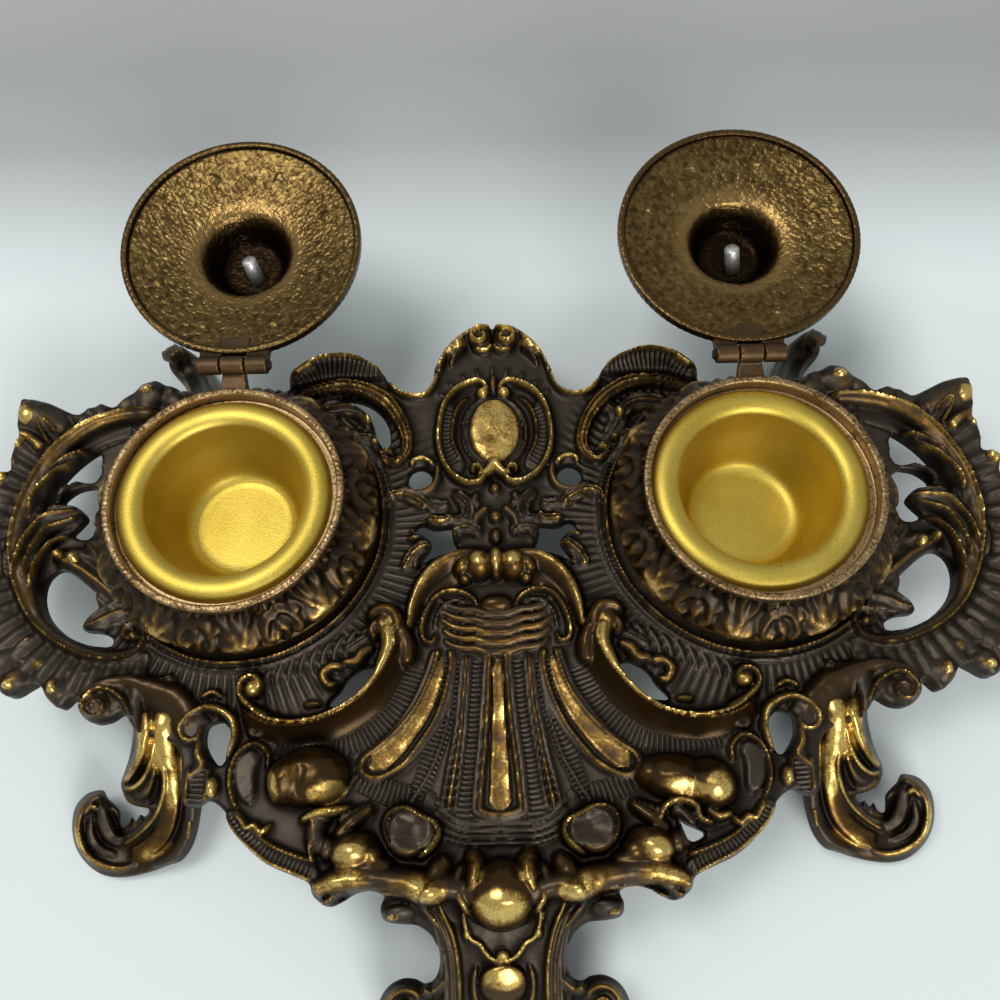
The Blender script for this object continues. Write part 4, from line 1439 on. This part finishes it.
# ---------- Hinge pins, studs and screws ----------
# Plain steel studs and screws, grey and dull, with file marks. The hinge pins have gone as dark
# as the bronze round them.
steel, nodes, shader = new_material("dull_steel")
scratch = noise(nodes, 1500, 3, Distortion=0.4)
filed = tinted(nodes, scratch, [(0.35, (0.34, 0.335, 0.325)), (0.65, (0.70, 0.69, 0.67))])
feed(shader, Base_Color=filed, Metallic=0.75, Roughness=0.45)
bumped(nodes, shader, scratch, 0.3, 0.0001)
for side, hand in HANDS:
    for node in ("hinge_pin", "well_screws"):
        kept = frame["nodes"][f"{hand}_{node}"]
        kept.data.materials.clear()
        kept.data.materials.append(coppery if node == "hinge_pin" else steel)
    # The stud's end has been knocked towards the hinge.
    stud = spun(f"{hand}_stud", [(0, -8.6), (1.8, -8.6), (2.3, -8.0), (2.3, 0.1), (0, 0.1)], 0, 40)
    stud.data.transform(moved(1.4, 3.4, 17) @ Matrix.Rotation(math.radians(26), 4, (-0.9, 0.4, 0)))
    lid_rest(stud, side)
    finish_piece(stud, steel, f"{hand}_lid_group", f"{hand}_finial_stud")


# ---------- Legs ----------
# Five cast scroll legs, soldered under the tray. Each side leg is a leaf that rolls
# forward and outward into a toe like a shell, the front leg is a broad scroll, and the
# rear legs are fluted and end in a curl.
def swept(name, rows, section, steps, sides):
    """Sweeps a section along a path. A row is [x, y, z, half width, half thickness]; section gives
    what is added above the middle for (u across, top or underside)."""
    rows = flow(rows, steps)
    path, wide, thick = rows[:, :3], rows[:, 3], rows[:, 4]
    fore = np.gradient(path, axis=0)
    fore /= np.linalg.norm(fore, axis=1)[:, None]
    flat = np.stack([-fore[:, 1], fore[:, 0], np.zeros(len(rows))], 1)
    flat[np.linalg.norm(flat, axis=1) < 0.05] = (1, 0, 0)
    flat /= np.linalg.norm(flat, axis=1)[:, None]
    above = np.cross(fore, flat)
    phase = np.linspace(0, 2 * math.pi, sides, endpoint=False)
    u, v = np.cos(phase), np.sin(phase)
    u = np.sign(u) * np.abs(u) ** 0.8
    lift = section(u, v > 0)
    points = np.array([path[i] + flat[i] * (wide[i] * u)[:, None] + above[i] * (thick[i] * v + lift)[:, None]
                       for i in range(len(rows))]).reshape(-1, 3)
    count = len(rows)
    faces = [[i * sides + k, i * sides + (k + 1) % sides, (i + 1) * sides + (k + 1) % sides, (i + 1) * sides + k]
             for i in range(count - 1) for k in range(sides)]
    faces += [list(range(sides))[::-1], [(count - 1) * sides + k for k in range(sides)]]
    obj = traced(name, (points * MM).tolist(), [], faces)
    bpy.ops.object.mode_set(mode="EDIT")
    bpy.ops.mesh.select_all(action="SELECT")
    bpy.ops.mesh.normals_make_consistent(inside=False)
    bpy.ops.object.mode_set(mode="OBJECT")
    return obj


def rail(u, at, wide, high):
    return high * np.exp(-((u - at) / wide) ** 2)


def fluted(u, top):
    """A rail along each edge and a lower one along the middle, on top only."""
    return np.where(top, rail(u, -0.7, 0.2, 0.9) + rail(u, 0.7, 0.2, 0.9) + rail(u, 0, 0.25, 0.5), 0)


# Each side leg is laid out in relief too. It is drawn on the level of the tray, as it looks from
# EYE, and each of its places then moves out along its line of sight to its own height.
PITCH = 0.32


def start_relief(x0, x1, y0, y1):
    """Gives the relief's tools another grid, which is still flat."""
    global grid_x, grid_y, X, Y, halves, side_x, side_y, height, gilt, lacquer, rib_turn, rib_depth
    grid_x, grid_y = np.arange(x0, x1, PITCH), np.arange(y0, y1, PITCH)
    X, Y = np.meshgrid(grid_x, grid_y)
    halves = ((1, grid_x >= 0), (-1, grid_x < 0))
    side_x, side_y = np.abs(X) + 0.2 * lumps(2.6), Y + 0.2 * lumps(2.6)
    height, gilt, lacquer, rib_turn, rib_depth = (np.zeros_like(X) for _ in range(5))


def blended(path, gaps):
    """The height of a leg's middle at each grid place: its path's, mostly where that is near."""
    weights = [1 / gap ** 2.2 for gap in gaps]
    return sum(w * q[2] for w, q in zip(weights, path)) / sum(weights)


LEG_ROUND = 3.2                                 # how far in from its rim a leg is rounded, mm
LEAST_Z = 0.02                                  # nothing goes lower than this, mm


def finish_relief(rim, over, under, rough):
    """Gives a leg its thickness over and under its middle, rounded towards the rim, and
    moves it out along the lines of sight. Returns what sheet needs."""
    global height, gilt
    height += rough * lumps(1.4) + 0.10 * lumps(0.6)
    gilt *= 1 + 0.35 * lumps(1.0)
    height += 0.5 * np.clip(blurred(height, 0.9) - height, 0, None)
    height = blurred(height, 0.2)
    rub, hollow = wear_of(height, gilt)
    gap, edge_x, edge_y = edge_of([rim])
    cell, used, x, y = cells_of(inside_of(rim), gap, edge_x, edge_y)
    fullness = np.sqrt(np.clip(1 - (1 - np.clip(gap / LEG_ROUND, 0, 1)) ** 2, 0, 1)) * (used == 4)
    low = np.maximum(middle - under * fullness - 0.3, LEAST_Z)
    top = np.maximum(middle + over * fullness + height * np.clip(fullness * 1.4, 0.25, 1), low + 0.5)

    def seen_from_eye(z):
        k = (EYE[2] - z) / (EYE[2] - GROUND)
        return np.stack([EYE[0] + (x - EYE[0]) * k, EYE[1] + (y - EYE[1]) * k + WELL_Y, z], 2)

    fields = zip((rub, hollow, lacquer, rib_turn, rib_depth), (0.1, 0.5, 0.2, 0, 0))
    return cell, seen_from_eye(top), seen_from_eye(low), used < 0, dict(zip(LAYERS, fields))


leg_path = flow([(93, -48, 25.4), (93, -57, 26.8), (92.6, -63, 23.6), (91.6, -70, 18.6), (91, -77, 13.6),
                 (92, -84, 7.4), (96, -90, 2.9), (102, -91.6, 2.4), (108, -89, 4.4), (110.4, -84, 7.2),
                 (108.6, -78, 10.4)], 4)
leg_rim = [(85, -50), (84, -56), (82.4, -62), (81, -68), (79.8, -74), (79.6, -80), (80.2, -86), (81.4, -90),
           (83.6, -92.8), (86.6, -93.8), (90, -95), (95, -96.2), (100, -96.6), (104.6, -95.6), (108.8, -92.8),
           (112, -88.8), (113.6, -83.8), (113.4, -79), (111, -75.8), (108, -74.8), (106.2, -75), (105, -76.8),
           (103, -78.4), (101.3, -80.2), (101, -82.2), (100.2, -84.4), (98.7, -83.6), (98, -81.8), (96.8, -82.8),
           (95.8, -81.2), (94.4, -81.7), (93.6, -79.9), (97, -79.1), (99.5, -77.9), (101.1, -75.6), (101.9, -73),
           (101.2, -70), (100.3, -66), (100, -60), (100.6, -55), (99, -50), (92, -47.6)]
leg_rim = flow(closed(leg_rim), 4)[:-1]
start_relief(76, 117, -99, -46)
middle = blended(leg_path, [(X - q[0]) ** 2 + (Y - q[1]) ** 2 + 5 for q in leg_path])
lacquer += 0.55
# The folds of the leaf down the leg.
carve([(92.4, -54), (92, -60), (90.6, -66), (88.8, -71.6), (87.6, -78), (88.6, -84), (92, -89.4), (97, -92)],
      [3.4, 3.9, 3.2, 2.6, 2.4, 2.6, 2.6, 1.8], [2.4, 2.8, 2.4, 2, 1.6, 1.6, 1.6, 1.2],
      gold=[0.1, 1.1, 1.2, 0.75, 0.4, 0.35, 0.5, 0.3], ease=0.02, glaze=1)
carve([(97.6, -54), (97, -60), (97.2, -65), (98.8, -69.4), (100.8, -73)], [1.8, 2.2, 1.8, 1.6, 1.2],
      [2.2, 3.2, 3.2, 2.8, 2.4], gold=[0.1, 1.2, 0.9, 0.4, 0.4], ease=0.02, glaze=0.7)
carve([(94.4, -62), (94.2, -67.6), (95.6, -71.6), (98.4, -74.4), (100.9, -74.6)], [0.8, 0.9, 0.8, 0.8],
      [3.2, 3, 3, 2.4], gold=[0.7, 0.6, 0.8, 0.8], ease=0.04)
carve([(92.8, -68.6), (93.4, -72.6), (95.4, -76), (98, -76.6)], [0.7, 1, 1.3, 0.8], [2.2, 2.2, 2, 1.6], gold=0.15)
carve([(91.4, -79), (94.4, -79.2), (98.2, -78.2), (100.8, -75.8)], 0.9, [1.6, 1.8, 2, 2], gold=[0.1, 0.1, 0.4, 0.5])
carve([(91.6, -68.2), (90.2, -71.4), (90, -75.6), (91, -80), (93.4, -84), (96.8, -87.2), (99.4, -88.6)], 0.8,
      [2.4, 2.8, 2.6, 2.2, 2], gold=[0.6, 0.8, 0.75, 0.6, 0.45], ease=0.04)
carve([(92.8, -80.8), (94.6, -83.6), (97.2, -86), (99.8, -87)], 0.8, 2, gold=0.2)
carve([(95.4, -82), (97.4, -84.2), (99.8, -85.4)], 0.8, 2, gold=0.2)
carve([(90.4, -84.6), (93.4, -88.4), (97.4, -90.2)], [0.7, 1.2, 0.9], 1.6, gold=0.3, glaze=1)
# The rolled inner edge, and the toe: a shell with a rim.
carve([(85.4, -56), (84.2, -64), (82.8, -72), (82.2, -80), (83, -87), (86, -91.8), (90.6, -94)],
      [1.8, 2, 2.1, 2, 1.8, 1.6, 1.2], [1.4, 1.6, 1.8, 1.8, 1.4], gold=0.02, ease=0.03, glaze=0.15)
carve([(82.4, -83), (82.6, -87.6)], 0.8, 2.6, gold=0.6)
carve([(95.6, -93.4), (99, -94.4), (103, -94), (107.4, -91.8), (110.8, -88), (112.2, -83.4), (111.4, -79),
       (108.6, -76.4), (106.4, -76)], [0.9, 1.1, 1.2, 1.2, 1.1], [1.2, 1.8, 2.6, 3, 2.8, 2.4],
      gold=[0.3, 0.55, 0.6, 0.75, 0.6, 0.25, 0.15], ease=0.03)
dish((104.6, -86), 6.4, 6.2, 2.6)
dish((107.2, -80.6), 3.2, 1.6, 1.6)
dish((109.4, -84.8), 1.5, 2.4, 1.4)
carve([(99.6, -88.4), (103, -86.2), (105.4, -82.4), (106.4, -78)], [1.2, 2, 1.8, 1.2], [0.4, 0.4, 0.8, 1.4],
      gold=0.05, glaze=0.1)
carve([(101, -91.2), (105.6, -89.6), (108.4, -86.2), (109, -82.2)], [0.9, 1.2, 1], [0.6, 0.4, 0.9], gold=0.1,
      glaze=0.2)
carve([(107.6, -79.4), (109.4, -78.6), (110.8, -80.6)], 0.9, 2.6, gold=0.8)
gild((92.8, -62), 4.4, 8.6, 1.35)
gild((87.4, -73), 2.4, 8.4, 1)
gild((91, -90.4), 5.4, 2.2, 0.6, -20)
gild((87.4, -79), 1.5, 5.4, 0.5)
groove([(94.8, -57), (94.8, -62), (95.6, -67.4), (98, -71.6), (100.4, -74)], [0.9, 0.9, 0.7], 1.6)
groove([(87.8, -58), (86.2, -66), (85, -74), (85, -82), (87, -88.6), (91.6, -92.4)], [0.9, 1.1, 1], 1.3)
groove([(91.8, -70), (92, -75), (93.6, -78.4)], [0.8, 1.6, 1], 1.4)
groove([(100.2, -86.8), (102.4, -83.4), (104.2, -79.6)], [0.8, 1.4, 0.9], 1.6)
lacquer *= np.clip((104 - X) / 6, 0.15, 1) * np.clip((X - 84) / 3, 0.1, 1)
side_leg = finish_relief(leg_rim, 2.9, 2.9, 0.22)
for side, hand in HANDS[::-1]:
    leg = sheet(f"{hand}_side_scroll_leg", *side_leg)
    if side < 0:
        leg.data.transform(Matrix.Scale(-1, 4, (1, 0, 0)))
        leg.data.flip_normals()
    finish_piece(leg, rubbed, "root", f"{hand}_side_leg")

    shapes = [
        swept("stem", [[85, 26, 25, 7, 2.4], [87, 34, 24.5, 6.6, 2.8], [91, 43, 20.5, 6, 2.8],
                       [96, 52, 13.5, 5.4, 2.8], [100, 59.5, 6.4, 5.2, 2.6], [104, 66, 2.3, 5.2, 2.4],
                       [108.6, 70.6, 3.8, 5, 2.4], [110.6, 71.4, 9, 3.8, 2.2], [107.6, 68.6, 11.4, 2.6, 1.8]],
              fluted, 7, 36),
        swept("leaf", [[90, 40, 22.6, 2, 1.8], [97, 47, 18.4, 2.8, 2.2], [102, 50, 17, 2, 2.2]], fluted, 5, 18)]
    leg = cast_block(f"{hand}_rear_scroll_leg", shapes, 0.55, 2)
    wear(leg, 0.6, 0.0, 0.3)
    p = coords(leg) / MM
    p[:, 2] = np.maximum(p[:, 2], LEAST_Z)
    p[:, 1] += WELL_Y
    p[:, 0] *= side
    set_coords(leg, p * MM)
    if side < 0:
        leg.data.flip_normals()
    finish_piece(leg, patina, "root", f"{hand}_rear_leg")


# The front leg, in relief as well: a hollow neck between doubled rails, a boss and two volutes.
# All of it below the volutes is beyond the photograph's edge.
front_path = flow([(0, -96, 25.2), (0, -104, 25.4), (0, -111, 24.0), (0, -118, 19.4), (0, -124, 14.4), (0, -130, 9.6),
                   (0, -136, 4.4), (0, -141, 2.2), (0, -144.4, 3.6)], 5)
half_rim = [(0, -96), (18, -96.4), (20.4, -102), (19, -107), (17.2, -111), (16, -115), (15.8, -118.4), (17, -121.4),
            (19.4, -122.4), (21.6, -121.4), (25, -121.2), (28.6, -123), (30.8, -126.6), (30.8, -130.8),
            (28.6, -134.4), (25, -136.2), (21, -135.6), (17.8, -133.6), (16.2, -135.6), (16.4, -138.6), (14, -141.4),
            (11.6, -143.6), (6, -145), (0, -145.4)]
front_rim = flow(whole(half_rim), 4)[:-1]
start_relief(-33, 33.1, -147, -94)
middle = blended(front_path, [(Y - q[1]) ** 2 + 3 for q in front_path])
middle += 3.4 * np.clip(1 - ((np.abs(X) - 24.6) / 8) ** 2 - ((Y + 128.6) / 9) ** 2, 0, 1) ** 0.6
carve([(19.6, -98), (18, -104), (15.4, -110), (13.6, -116), (13, -122), (12.8, -130), (12, -138), (9.6, -143)], 2.7,
      1.6, flat_top, ease=0.0, glaze=0.5)
for off, tone in ((0, 0.4), (2.3, 0.3), (4.3, 0.1)):
    carve([(17.8 + off, -98), (16 + off, -104.6), (13.2 + off * 0.9, -110.4), (11.6 + off * 0.8, -116),
           (11 + off * 0.8, -122), (10.8 + off * 0.8, -130), (10 + off * 0.8, -138), (8 + off * 0.7, -143)], 0.8,
          3.0 - 0.15 * off, gold=tone, ease=0.02)
swell((0, -122.8), 6, 4.8, 5.4, 0, power=0.3, glaze=0.9)
gild((0, -121.8), 4.8, 2.8, 1.3)
carve([(6.6, -119), (7.4, -123), (6.4, -127), (2, -129), (0, -128.6)], 0.9, 2.2, gold=0.2)
carve([(9.8, -106), (9.4, -109.6), (8, -112.6), (5.8, -113.8), (4.2, -116), (2, -117.6), (0, -117.8)], 0.75,
      [2.6, 2.6, 2.6, 3.2, 3], gold=[0.3, 0.9, 0.6, 0.9, 1], ease=0.02)
swell((0, -116.8), 1.9, 1.5, 3.4, 0.9)
swell((9, -111.4), 1.1, 1.4, 3.2, 0.8)
swell((24.8, -128.6), 5.8, 6.2, 1.6, 0, power=0.3)
carve(flow(spiral((24.8, -128.4), 5, 0.8, 150, -420), 3), [1.1, 1, 0.8], [3.4, 3.6, 4.2], gold=[0.15, 0.3, 0.45, 0.3],
      ease=0.03)
carve([(14.6, -122), (17.6, -124.4), (20, -123.6)], 1.2, 2.6, gold=0.1)
carve([(0, -132), (0, -138), (0, -143)], [2.4, 3.6, 4.4], [1.4, 2, 2.4], leaf4, gold=0.3)
carve([(4.6, -131), (6.4, -136), (5.6, -142)], [1.2, 1.6, 1.2], 1.6, gold=0.15)
front = sheet("front_scroll_leg", *finish_relief(front_rim, 2.2, 3.0, 0.2))
finish_piece(front, rubbed, "root", "front_leg")
